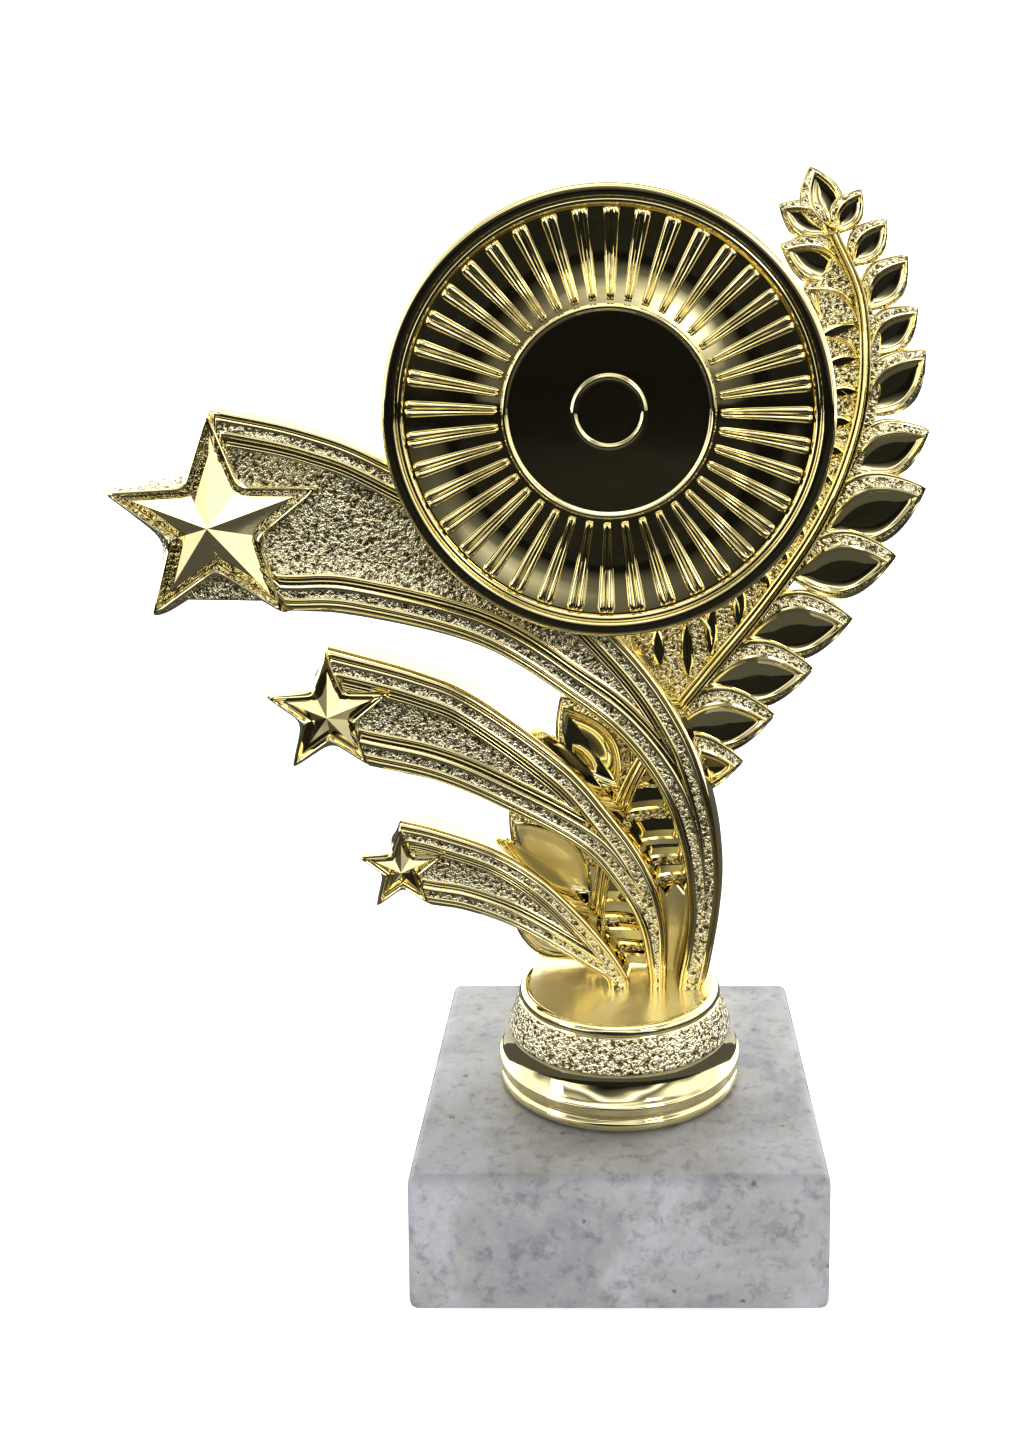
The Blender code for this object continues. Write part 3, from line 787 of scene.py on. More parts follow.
@dataclass
class MarbleBlock:
    """The marble block with its softened edges and the bore for the fasteners."""

    material: bpy.types.Material
    rounding: float = 1.6 * MM
    bore: float = 10.0 * MM
    bore_depth: float = 9.0 * MM

    def build(self) -> bpy.types.Object:
        """Models the block from a cube."""
        low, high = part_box("marble_base")
        bpy.ops.object.select_all(action="DESELECT")
        bpy.ops.mesh.primitive_cube_add(size=1.0)
        block = bpy.context.active_object
        block.name = "marble_block"
        block.data.transform(Matrix.Translation((low + high) / 2) @ Matrix.Diagonal((*(high - low), 1.0)))
        bpy.ops.object.mode_set(mode="EDIT")
        bpy.ops.mesh.select_all(action="SELECT")
        bpy.ops.mesh.bevel(offset=self.rounding, offset_type="OFFSET", segments=5, profile=0.6,
                           affect="EDGES")
        bpy.ops.object.mode_set(mode="OBJECT")
        bpy.ops.mesh.primitive_cylinder_add(vertices=64, radius=self.bore, depth=2 * self.bore_depth,
                                            location=(0, 0, low.z))
        cutter = bpy.context.active_object
        change = block.modifiers.new("bore", "BOOLEAN")
        change.object = cutter
        apply_modifiers(block)
        bpy.data.objects.remove(cutter)
        block.data.materials.clear()
        block.data.materials.append(self.material)
        shade(block, 30.0)
        return settle(block, "marble", "marble_base")


@dataclass
class RibbedDisc:
    """The disc: domed rim, bead, ribs with twin edges on a dished ring, and a flat hub with a small ring."""

    golds: Golds
    levels: Levels
    steps: int = 160
    ribs: int = 40
    centre: Point = DISC_CENTRE
    radius: float = DISC_RADIUS
    rim_inner: float = 32.3
    bead_radius: float = 31.7
    rib_outer: float = 30.9
    rib_inner: float = 17.0
    hub_radius: float = 15.9
    small_ring: float = 5.35
    rib_widths: Point = (2.75, 1.35)
    rib_height: float = 0.9
    first_rib: float = math.radians(-0.8)

    def polar(self, radius: float, angle: float, depth: float) -> Vector:
        """A point of the disc, in millimetres, at a depth in millimetres behind its front."""
        across = self.centre[0] + radius * math.cos(angle)
        up = self.centre[1] + radius * math.sin(angle)
        return self.levels.place((across, up), self.levels.disc_front + depth * MM)

    def ring(self, radius: float, depth: float) -> Ring:
        """A ring of the turning."""
        return [self.polar(radius, 2 * math.pi * step / self.steps, depth) for step in range(self.steps)]

    def dish(self, radius: float) -> float:
        """Depth of the ribbed ring: a trough between the rim and the hub."""
        share = (self.rib_outer - radius) / (self.rib_outer - self.hub_radius)
        return 1.15 + 0.35 * share + 1.25 * math.sin(math.pi * min(max(share, 0.0), 1.0)) ** 1.2

    def profile(self) -> list[Point]:
        """(radius, depth) from the back edge of the rim to the middle."""
        back = (self.levels.disc_back - self.levels.disc_front) / MM
        edge = self.radius
        shoulder = edge - 0.52
        crest = 0.74
        outline = [(edge - 1.2, back), (edge - 0.4, back - 0.5), (edge - 0.05, back - 1.3),
                   (edge, back - 2.1), (edge - 0.08, 1.35), (edge - 0.22, 0.95), (edge - 0.42, 0.72),
                   (shoulder, crest)]
        middle = (shoulder + self.rim_inner) / 2
        half = (shoulder - self.rim_inner) / 2
        for step in range(1, 12):
            angle = math.pi * step / 12
            outline.append((middle + half * math.cos(angle), crest - 0.70 * math.sin(angle)**0.3))
        bead = self.bead_radius
        outline += [(self.rim_inner, 0.86), (self.rim_inner - 0.12, 0.72), (bead + 0.15, 0.55),
                    (bead - 0.15, 0.58), (bead - 0.42, 0.85), (bead - 0.6, 1.45),
                    (self.rib_outer + 0.05, 1.66)]
        for step in range(13):
            radius = self.rib_outer + (self.hub_radius + 0.55 - self.rib_outer) * step / 12
            outline.append((radius, self.dish(radius)))
        floor = self.dish(self.hub_radius)
        hub = self.hub_radius
        outline += [(hub + 0.42, floor - 0.25), (hub + 0.15, floor - 0.48), (hub - 0.12, floor - 0.48),
                    (hub - 0.38, floor - 0.22), (hub - 0.5, floor + 0.02)]
        small = self.small_ring
        flat = floor + 0.05
        outline += [(radius, flat) for radius in (hub - 0.62, hub - 0.8, hub - 1.5, small + 2.0, small + 0.9,
                                                  small + 0.65)]
        outline += [(small + 0.4, floor + 0.03), (small + 0.2, floor - 0.18), (small, floor - 0.25),
                    (small - 0.2, floor - 0.18), (small - 0.4, floor + 0.03)]
        outline += [(radius, flat) for radius in (small - 0.65, small - 0.9, 2.0, 1.0)]
        return outline

    def rib(self) -> bpy.types.Object:
        """Models the first rib: two round ridges with a groove between them, tapered, with rounded ends."""
        half = [(-0.5, -0.2), (-0.5, 0.15), (-0.47, 0.5), (-0.40, 0.8), (-0.31, 0.97), (-0.24, 1.0),
                (-0.16, 0.93), (-0.08, 0.68), (-0.03, 0.48)]
        section = [*half, (0.0, 0.42), *[(-across, rise) for across, rise in half[::-1]]]
        ends = [(0.0, 0.25), (0.015, 0.62), (0.04, 0.88), (0.08, 1.0)]
        stations = [*ends, *[(0.08 + 0.84 * step / 10, 1.0) for step in range(1, 10)],
                    *[(1 - share, rise) for share, rise in ends[::-1]]]
        wide, narrow = self.rib_widths
        rings = []
        for share, size in stations:
            radius = self.rib_inner + (self.rib_outer - self.rib_inner) * share
            width = (narrow + (wide - narrow) * share) * (0.7 + 0.3 * size)
            ring = [Vector((radius, across * width, self.dish(radius) - self.rib_height * rise * size))
                    for across, rise in section]
            rings.append((ring, Surface.POLISHED))
        shell = Shell.through("disc_rib", rings)
        shell.cap()
        return shell.finish(self.golds.slots(), 60.0)

    def build(self) -> bpy.types.Object:
        """Models the disc and sets the ribs round it."""
        rings = [(self.ring(radius, depth), Surface.POLISHED) for radius, depth in self.profile()]
        shell = Shell.through("disc_turning", rings)
        shell.cap()
        dish = shell.finish(self.golds.slots(), 50.0)
        first = self.rib()
        ribs = []
        for number in range(self.ribs):
            turn = self.first_rib + 2 * math.pi * number / self.ribs

            def swing(spot: Vector) -> Vector:
                """A corner of the first rib, swung round to its place."""
                radius = math.hypot(spot.x, spot.y)
                return self.polar(radius, turn + math.atan2(spot.y, spot.x), spot.z)

            ribs.append(copy_of(first, f"disc_rib_{number + 1:02d}", swing))
        bpy.data.objects.remove(first)
        crown = joined(ribs, "disc_ribs")
        bpy.ops.object.mode_set(mode="EDIT")
        bpy.ops.mesh.select_all(action="SELECT")
        bpy.ops.mesh.normals_make_consistent(inside=False)
        bpy.ops.object.mode_set(mode="OBJECT")
        gild(crown)
        return gild(dish, "ribbed_disc")


@dataclass(frozen=True)
class RibbonSection:
    """The face of an arm from its edge inwards: shoulder, bead, stippled band, bead, groove, lip and panel.

    A station is its distance from the edge near the star, the same near the foot, and its height over the
    arm's front, in millimetres.
    """

    scale: float = 1.0
    stations: tuple[tuple[float, float, float], ...] = (
        (0.00, 0.00, -1.60), (0.06, 0.04, -1.15), (0.22, 0.12, -0.72), (0.45, 0.24, -0.38),
        (0.75, 0.38, -0.14), (1.10, 0.52, -0.05), (1.36, 0.64, -0.16), (1.50, 0.72, -0.42),
        (1.62, 0.80, -0.22), (1.78, 0.92, -0.02), (1.98, 1.06, 0.00), (2.16, 1.20, -0.14),
        (2.30, 1.34, -0.20), (3.45, 2.66, -0.20), (3.62, 2.82, -0.06), (3.82, 3.00, 0.02),
        (4.05, 3.20, -0.04), (4.35, 3.44, -0.45), (4.62, 3.62, -0.95), (4.80, 3.76, -1.10),
        (5.10, 4.02, -1.10), (5.28, 4.20, -0.90), (5.42, 4.34, -0.62), (5.60, 4.48, -0.55),
        (5.78, 4.62, -0.66), (5.90, 4.74, -0.80))
    stippled_strip: int = 12  # between this station and the next
    panel_cuts: int = 3

    def heights(self, share: float) -> list[Point]:
        """(distance, height) in millimetres at a share of the way to the foot."""
        return [((near + (far - near) * share) * self.scale, height * self.scale)
                for near, far, height in self.stations]

    def finishes(self) -> list[Surface]:
        """The finish of each strip of the face, from the upper edge to the lower."""
        side = [Surface.POLISHED] * (len(self.stations) - 1)
        side[self.stippled_strip] = Surface.STIPPLED
        return side + [Surface.STIPPLED] * (self.panel_cuts + 1) + side[::-1]


@dataclass
class StarArm:
    """One shooting star: a band with two ribbons and a sunk panel, and a faceted star at its head."""

    name: str
    golds: Golds
    levels: Levels
    star: Point
    radius: float
    upper: list[Point]
    lower: list[Point]
    foot: Point  # where the lower and the upper edge meet the collar
    facet: Point
    border: float = 1.1  # from the star's edge to its facets
    apex: float = 3.0  # how far the facets rise over the arm's front
    draft: float = 1.0  # how far the band's wall leans out towards the back
    star_draft: float = 0.062  # the same for the star's wall, over the star's radius
    gusset: list[Point] = field(default_factory=list)
    section: RibbonSection = RibbonSection()
    rows: int = 110
    notch: float = 0.41
    turn: float = math.radians(1.5)
    large_radius: float = 15.0  # a star over this has stippled slopes

    def edges(self) -> tuple[list[Vector], list[Vector]]:
        """The upper and the lower edge, from the star to the collar."""
        upper = evenly(curve_through([*self.upper, (self.foot[1], 0.0)]), self.rows)
        lower = evenly(curve_through([*self.lower, (self.foot[0], 0.0)]), self.rows)
        return upper, lower

    def side(self, start: Vector, goal: Vector, tangent: Vector, share: float) -> list[tuple[Vector, float]]:
        """Points of the section from one edge to the middle.

        Args:
            start: the edge's point.
            goal: the other edge's point.
            tangent: the direction of the edge there.
            share: how far along the arm this is.

        Returns:
            Each point of the plane with its height in millimetres.
        """
        across = goal - start
        slant = abs(tangent.normalized().cross(across.normalized()))
        table = self.section.heights(share)
        reach = across.length / 2 * slant
        points = []
        for distance, _ in table:
            near = min(distance, reach)
            points.append((start + across.normalized() * near / max(slant, 0.2), between(table, near)))
        return points

    def ring(self, row: int, upper: Sequence[Vector], lower: Sequence[Vector]) -> Ring:
        """One closed section of the band."""
        share = row / (self.rows - 1)
        before = max(row - 1, 0)
        after = min(row + 1, self.rows - 1)
        top = self.side(upper[row], lower[row], upper[after] - upper[before], share)
        bottom = self.side(lower[row], upper[row], lower[after] - lower[before], share)
        cuts = self.section.panel_cuts
        middle = []
        for cut in range(1, cuts + 1):
            part = cut / (cuts + 1)
            level = top[-1][1] + (bottom[-1][1] - top[-1][1]) * part
            middle.append((top[-1][0].lerp(bottom[-1][0], part), level))
        face = [*top, *middle, *bottom[::-1]]
        ring = [self.levels.place(spot, self.levels.arm_front - height * MM) for spot, height in face]
        across = (lower[row] - upper[row]).normalized()
        inside_star = min(1.0, 0.35 + 8.0 * share)
        flare = self.draft * (1 - share) ** 0.7 * inside_star + 0.15
        below = lower[row] + across * flare
        above = upper[row] - across * flare
        soft = 0.5
        upright = 2.6
        wall = [(below, upright), (below, soft), (below - across * soft, 0.0), (above + across * soft, 0.0),
                (above, soft), (above, upright)]
        return ring + [self.levels.place(spot, self.levels.arm_back - rise * MM) for spot, rise in wall]

    def band(self) -> bpy.types.Object:
        """Models the band, section by section, from inside the star to the collar."""
        upper, lower = self.edges()
        sections = [self.ring(row, upper, lower) for row in range(self.rows)]
        centre = Vector(self.star)
        set_back = Vector((0, 0.4 * MM, 0))
        hidden = [self.levels.place(centre, corner.y).lerp(corner, 0.7) + set_back for corner in sections[0]]
        face = self.section.finishes()
        finishes = [*face, *[Surface.POLISHED] * (len(hidden) - len(face))]
        shell = Shell.through(f"{self.name}_band", [(ring, finishes) for ring in (hidden, *sections)])
        shell.cap()
        return shell.finish(self.golds.slots(), 60.0)

    def outline(self, inset: float, soften: int = 0) -> list[Vector]:
        """The star's outline, moved inwards, or outwards with blunt tips where the inset is negative.

        Args:
            inset: how far each edge moves in, in millimetres.
            soften: how often the corners are averaged.

        Returns:
            Its points in the plane, from the upper tip, clockwise.
        """
        parts = 12
        tenth = math.pi / 5
        notch = self.radius * self.notch
        tip_angle = math.atan2(notch * math.sin(tenth), self.radius - notch * math.cos(tenth))
        tip_reach = self.radius - (inset / math.sin(tip_angle) if inset > 0 else 1.2 * inset)
        notch_reach = notch - inset / math.sin(tenth + tip_angle)
        corners = []
        for number in range(10):
            reach = tip_reach if number % 2 == 0 else notch_reach
            angle = math.pi / 2 + self.turn - number * tenth
            corners.append(Vector(self.star) + reach * Vector((math.cos(angle), math.sin(angle))))
        points = [start.lerp(end, part / parts) for start, end in zip(corners, corners[1:] + corners[:1])
                  for part in range(parts)]
        for _ in range(soften):
            points = [(points[index - 1] + 2 * spot + points[(index + 1) % len(points)]) / 4
                      for index, spot in enumerate(points)]
        return points

    def head(self) -> bpy.types.Object:
        """Models the star: a wall, a rounded crest, a stippled slope and ten flat facets up to the apex."""
        front = self.levels.arm_front
        thick = (self.levels.arm_back - front) / MM
        large = self.radius > self.large_radius
        base = 1.0 if large else 0.7
        slope = Surface.STIPPLED if large else Surface.POLISHED
        flare = -self.star_draft * self.radius
        upright = 2.4
        foot = (self.border + 0.12, base - 0.02)
        stages = [(flare, thick, 10, Surface.POLISHED), (flare, thick - upright, 10, Surface.POLISHED),
                  (0.55 * flare, 1.9, 7, slope), (0.0, 0.75, 4, slope), (0.12, 0.4, 3, slope),
                  (0.32, 0.06, 2, Surface.POLISHED), (0.46, 0.0, 2, Surface.POLISHED),
                  (0.58, 0.08, 2, Surface.POLISHED), (0.62, 0.14, 1, Surface.POLISHED),
                  (self.border - 0.06, base - 0.05, 0, slope), (self.border, base, 0, Surface.POLISHED),
                  (*foot, 0, Surface.POLISHED), (*foot, 0, Surface.POLISHED)]
        rings = []
        for inset, depth, soften, finish in stages:
            ring = [self.levels.place(spot, front + depth * MM) for spot in self.outline(inset, soften)]
            rings.append((ring, finish))
        shell = Shell.through(f"{self.name}_star", rings)
        shell.point(self.levels.place(self.facet, front - self.apex * MM))
        return shell.finish(self.golds.slots(), 20.0)

    def build(self) -> bpy.types.Object:
        """Models both and lets them stand for the arm."""
        gild(self.head())
        if self.gusset:
            depths = (self.levels.arm_front + 2.0 * MM, self.levels.arm_back - 1.0 * MM)
            gild(plate(self.levels, self.golds, f"{self.name}_gusset", self.gusset, depths, Surface.STIPPLED))
        return gild(self.band(), self.name)


@dataclass
class Laurel:
    """The spray: a ribbed stem, pointed leaves with beaded edges, and the web and root that tie them."""

    golds: Golds
    levels: Levels
    stem: list[Point]
    outer: list[tuple[Point, Point]]
    inner: list[tuple[Point, Point]]
    web: list[Point]
    roots: list[tuple[list[Point], float, Surface]]
    windows: list[tuple[Point, Point]]
    bars: list[tuple[Point, Point, float, Surface]]
    stem_widths: Point = (1.5, 2.4)  # at its top and at its foot
    cells: int = 10
    first_cell: float = -48.0  # in degrees round the disc
    cell_pitch: float = 7.4
    cell_width: float = 1.9
    window_width: float = 2.1
    bright_leaves: int = 2  # the lowest inner ones
    fullness: float = 0.64  # a leaf's width over its length
    lift: float = 0.55 * MM  # how far the leaves stand forward
    tilt: float = 0.16
    points_round: int = 48

    def oval(self, size: Point, shift: Point) -> list[Vector]:
        """A pointed oval in the leaf's own plane, from 0 to 1 along it.

        Args:
            size: its length and width over the leaf's.
            shift: how far its middle is moved along and across.

        Returns:
            Its points, from the base, along one side to the tip and back.
        """
        half = self.points_round // 2
        points = []
        for number in range(self.points_round):
            side = 1 if number < half else -1
            along = number / half if number < half else 2 - number / half
            spread = math.sin(math.pi * along) ** 0.9 * (1 - 0.12 * (along - 0.45))
            points.append(Vector((0.5 + shift[0] + size[0] * (along - 0.5),
                                  shift[1] + side * spread * size[1] / 2)))
        return points

    def leaf(self, bowl: Surface = Surface.POLISHED) -> bpy.types.Object:
        """Models one leaf of length and width 1, its front at depth 0 and its back at depth 1.

        Args:
            bowl: the finish of its hollow middle.

        Returns:
            The leaf.
        """
        polished = Surface.POLISHED
        middle = (0.0, 0.0)
        stages = [((1.0, 1.0), middle, 1.0, polished), ((1.0, 1.0), middle, 0.44, polished),
                  ((0.99, 0.975), middle, 0.35, polished), ((0.975, 0.94), middle, 0.31, polished),
                  ((0.96, 0.90), middle, 0.35, polished), ((0.94, 0.86), (-0.003, -0.005), 0.33, polished),
                  ((0.84, 0.68), (-0.01, -0.05), 0.06, Surface.STIPPLED),
                  ((0.82, 0.64), (-0.012, -0.055), 0.0, polished),
                  ((0.80, 0.60), (-0.014, -0.06), 0.02, polished),
                  ((0.78, 0.565), (-0.015, -0.06), 0.13, polished),
                  ((0.67, 0.43), (-0.02, -0.06), 0.26, bowl), ((0.48, 0.26), (-0.02, -0.06), 0.33, bowl),
                  ((0.28, 0.08), (-0.02, -0.06), 0.36, bowl)]
        rings = []
        for size, shift, depth, finish in stages:
            rings.append(([Vector((spot.x, depth, spot.y)) for spot in self.oval(size, shift)], finish))
        shell = Shell.through("leaf", rings)
        shell.cap()
        return shell.finish(self.golds.slots(), 55.0, weld=0.001)

    def grown(self, leaf: bpy.types.Object, name: str, base: Point, tip: Point,
              flip: bool) -> bpy.types.Object:
        """A leaf set from its base to its tip.

        Args:
            leaf: the leaf of size 1.
            name: the copy's name.
            base: where it leaves the stem.
            tip: its point.
            flip: whether its wide border is on the other side.

        Returns:
            The copy.
        """
        start = Vector(base)
        along = Vector(tip) - start
        across = Vector((-along.y, along.x)) * self.fullness * (-1 if flip else 1)
        thick = self.levels.laurel_back - self.levels.laurel_front

        def place(spot: Vector) -> Vector:
            """A corner of the leaf of size 1, set in its place on the stem."""
            flat = start + along * spot.x + across * spot.z
            lean = spot.z * self.tilt * along.length * self.fullness * MM * (1 - spot.y)
            depth = self.levels.laurel_front + self.lift + spot.y * (thick - self.lift)
            return self.levels.place(flat, depth - lean)

        return copy_of(leaf, name, place)

    def stem_piece(self) -> bpy.types.Object:
        """Models the stem: a rounded rib between two fine beads."""
        half = [(-1.15, 3.0), (-1.15, 0.25), (-1.05, -0.1), (-0.9, -0.2), (-0.75, -0.1), (-0.66, 0.15),
                (-0.5, -0.05), (-0.25, -0.42)]
        section = [*half, (0.0, -0.55), *[(-across, depth) for across, depth in half[::-1]]]
        line = evenly(curve_through(self.stem), 90)
        top_width, foot_width = self.stem_widths
        rings = []
        for number, spot in enumerate(line):
            width = top_width + (foot_width - top_width) * number / (len(line) - 1)
            along = line[min(number + 1, len(line) - 1)] - line[max(number - 1, 0)]
            side = Vector((-along.y, along.x)).normalized() * width / 2
            ring = [self.levels.place(spot + side * across, self.levels.laurel_front + depth * MM)
                    for across, depth in section]
            rings.append((ring, Surface.POLISHED))
        shell = Shell.through("laurel_stem", rings)
        shell.cap()
        return shell.finish(self.golds.slots(), 60.0)

    def pane(self, name: str, base: Vector, tip: Vector, width: float) -> bpy.types.Object:
        """A small polished pointed oval set in the web, from its base to its tip, in millimetres."""
        along = tip - base
        side = Vector((-along.y, along.x)).normalized() * width / 2
        shares = (0.0, 0.12, 0.3, 0.5, 0.7, 0.88)
        outline = []
        for share in shares:
            outline.append(tuple(base + along * share + side * math.sin(math.pi * share) ** 0.8))
        for share in (1.0, *shares[:0:-1]):
            outline.append(tuple(base + along * share - side * math.sin(math.pi * share) ** 0.8))
        depths = (self.levels.laurel_front + 0.35 * MM, self.levels.laurel_back - 0.5 * MM)
        return plate(self.levels, self.golds, name, outline, depths, Surface.POLISHED)

    def cell(self, number: int, line: Sequence[Vector]) -> bpy.types.Object:
        """A short cell of the web, from beside the disc's rim out to the stem."""
        middle = Vector(DISC_CENTRE)
        angle = math.radians(self.first_cell + self.cell_pitch * number)
        out = Vector((math.cos(angle), math.sin(angle)))
        ahead = [spot for spot in line if (spot - middle).dot(out) > 0]
        near = min(ahead, key=lambda spot: abs((spot - middle).normalized().cross(out)))
        return self.pane(f"web_cell_{number + 1}", middle + out * DISC_RADIUS,
                         middle + out * ((near - middle).length - 0.8), self.cell_width)

    def bar(self, number: int, base: Point, tip: Point, width: float, surface: Surface) -> bpy.types.Object:
        """A short rung between two arms, a little arched."""
        start = Vector(base)
        along = Vector(tip) - start
        side = Vector((-along.y, along.x)).normalized()
        arch = 0.35
        line = [start + along * share + side * (arch * math.sin(math.pi * share))
                for share in (0.0, 0.25, 0.5, 0.75, 1.0)]
        half = side * width / 2
        outline = [tuple(spot - half) for spot in line] + [tuple(spot + half) for spot in line[::-1]]
        depths = (self.levels.laurel_front + 0.1 * MM, self.levels.laurel_back - 0.4 * MM)
        return plate(self.levels, self.golds, f"root_bar_{number}", outline, depths, surface)

    def build(self) -> bpy.types.Object:
        """Models the spray and joins its leaves to it."""
        stem = curve_through(self.stem)
        leaf = self.leaf()
        bright = self.leaf(Surface.SATIN)
        leaves = []
        for side, spots, flip in (("outer", self.outer, False), ("inner", self.inner, True)):
            for number, (base, tip) in enumerate(spots):
                near = min(stem, key=lambda spot: (spot - Vector(base)).length)
                source = bright if flip and number >= len(spots) - self.bright_leaves else leaf
                leaves.append(self.grown(source, f"{side}_leaf_{number + 1}", tuple(near), tip, flip))
        cells = [self.cell(number, stem) for number in range(self.cells)]
        cells += [self.pane(f"web_window_{number + 1}", Vector(base), Vector(tip), self.window_width)
                  for number, (base, tip) in enumerate(self.windows)]
        bars = [self.bar(number + 1, *entry) for number, entry in enumerate(self.bars)]
        bpy.data.objects.remove(leaf)
        bpy.data.objects.remove(bright)
        gild(joined(leaves, "laurel_leaves"))
        gild(joined(cells, "laurel_cells"))
        gild(joined(bars, "laurel_bars"))
        front = self.levels.laurel_front
        back = self.levels.laurel_back - 0.2 * MM
        plates = [("laurel_web", self.web, 0.9, Surface.STIPPLED)]
        plates += [(f"laurel_root_{number + 1}", *root) for number, root in enumerate(self.roots)]
        for name, outline, depth, surface in plates:
            gild(plate(self.levels, self.golds, name, outline, (front + depth * MM, back), surface))
        return gild(self.stem_piece(), "laurel_spray")


# ---------------------------------------------------------------- studio


@dataclass
class Studio:
    """The sweep, the soft lights, the dark flags that only the plating mirrors, and the camera."""

    half_width: float = 3.0
    sweep_start: float = 1.2
    sweep_radius: float = 1.0
    sweep_height: float = 2.5
    camera_place: tuple[float, float, float] = (0.00045, -0.2274, 0.1457)
    pitch: float = math.radians(84.0)
    lens: float = 36.26
    shift: Point = (-0.0762, -0.1814)
    aim: tuple[float, float, float] = (0.0, 0.0, 0.09)
    flag_height: float = 0.8 * MM
    near_edge: float = -0.14  # where the black flag ends and the near card starts
    # the way from the dark side of the room through the trophy: 3 degrees aside and 10 degrees up
    away: tuple[float, float, float] = (0.0515, 0.9835, 0.1736)
    # brightness of the room from its dark side to the side behind the trophy
    room_tones: tuple[Point, ...] = ((0.0, 0.004), (0.16, 0.006), (0.24, 0.05), (0.33, 0.13), (0.42, 0.9),
                                     (0.50, 2.4), (0.58, 0.7), (0.70, 0.12), (0.82, 0.45), (1.0, 1.4))

    def sweep(self) -> None:
        """A plain pale floor that curves up into a wall far behind the trophy."""
        bpy.ops.object.select_all(action="DESELECT")
        bpy.ops.mesh.primitive_plane_add(size=2 * self.half_width, location=(0.0, 0.0, 0.0))
        floor = bpy.context.active_object
        floor.name = "floor"
        for vert in floor.data.vertices:
            vert.co.y = self.sweep_start if vert.co.y > 0 else -self.half_width
        bpy.ops.object.mode_set(mode="EDIT")
        bpy.ops.mesh.select_all(action="DESELECT")
        mesh = bmesh.from_edit_mesh(floor.data)
        for edge in mesh.edges:
            edge.select_set(all(vert.co.y > 0 for vert in edge.verts))
        bmesh.update_edit_mesh(floor.data)
        bpy.ops.mesh.spin(steps=16, angle=math.radians(90.0),
                          center=(0.0, self.sweep_start, self.sweep_radius), axis=(1.0, 0.0, 0.0))
        bpy.ops.mesh.extrude_edges_move(TRANSFORM_OT_translate={"value": (0.0, 0.0, self.sweep_height)})
        bpy.ops.object.mode_set(mode="OBJECT")
        floor.data.materials.append(PaleFloor().make())
        shade(floor, 60.0)

    def flag(self, name: str, half_width: float, start: float, end: float, glow: float = 0.0) -> None:
        """A dark card, just over the floor, that only the plating mirrors.

        Args:
            name: its name.
            half_width: half its width, in metres.
            start: where its near edge is.
            end: where its far edge is.
            glow: how bright it is of its own.
        """
        corners = [(across, depth, self.flag_height) for depth in (start, end)
                   for across in (-half_width, half_width)]
        bpy.ops.object.select_all(action="DESELECT")
        bpy.ops.mesh.primitive_plane_add(size=1.0)
        card = bpy.context.active_object
        card.name = name
        for vert, corner in zip(card.data.vertices, corners):
            vert.co = corner
        card.data.materials.append(FlagCloth(glow=glow).make())
        card.visible_camera = False
        card.visible_diffuse = False
        card.visible_shadow = False

    def light(self, name: str, place: tuple[float, float, float], size: Point, power: float,
              colour: Colour = WHITE, mirrored: bool = True) -> None:
        """A soft rectangular light that looks at the trophy.

        Args:
            name: its name.
            place: where it stands, in metres.
            size: its width and height, in metres.
            power: in watts.
            colour: of its light.
            mirrored: whether the plating shows it.
        """
        data = bpy.data.lights.new(name, "AREA")
        data.shape = "RECTANGLE"
        data.size, data.size_y = size
        data.energy = power
        data.color = colour
        lamp = bpy.data.objects.new(name, data)
        bpy.context.scene.collection.objects.link(lamp)
        lamp.location = place
        lamp.visible_glossy = mirrored
        lamp.rotation_euler = (Vector(self.aim) - Vector(place)).to_track_quat("-Z", "Y").to_euler()

    def world(self) -> None:
        """White as the background, and in reflections a room with a bright ceiling and a dark front side."""
        world = bpy.data.worlds.new("studio")
        bpy.context.scene.world = world
        world.use_nodes = True
        kit = NodeKit(world.node_tree)
        place = kit.node("ShaderNodeTexCoord").outputs["Generated"]
        parts = kit.node("ShaderNodeSeparateXYZ", inputs={"Vector": place}).outputs
        unevenness = kit.node("ShaderNodeTexNoise", inputs={"Scale": 1.9, "Detail": 0.0, "Vector": place})
        across, depth, height = [kit.signal(parts[axis]) for axis in "XYZ"]
        along = 1.0001 + self.away[0] * across + self.away[1] * depth + self.away[2] * height
        level = along ** 0.5 * (0.35 + 1.3 * kit.signal(unevenness.outputs["Fac"])) + 0.10 * height
        tones = kit.ramp(level, [(spot, (value, value, value * 0.98)) for spot, value in self.room_tones])
        rays = kit.node("ShaderNodeLightPath").outputs
        mirrored = kit.signal(rays["Is Glossy Ray"])
        seen = kit.signal(rays["Is Camera Ray"])
        ceiling = (height * height.above(0.0)) ** 2.0
        background = kit.tree.nodes["Background"]
        kit.feed(background.inputs["Color"], kit.mix(seen, tones, WHITE))
        kit.feed(background.inputs["Strength"], 0.16 + mirrored * (0.9 + 0.9 * ceiling) + 0.84 * seen)

    def camera(self) -> None:
        """The camera, level with the stars and turned a little down."""
        data = bpy.data.cameras.new("camera")
        data.sensor_width = 36.0
        data.lens = self.lens
        data.shift_x, data.shift_y = self.shift
        data.clip_start = 0.01
        camera = bpy.data.objects.new("camera", data)
        bpy.context.scene.collection.objects.link(camera)
        camera.location = self.camera_place
        camera.rotation_euler = (self.pitch, 0.0, 0.0)
        bpy.context.scene.camera = camera

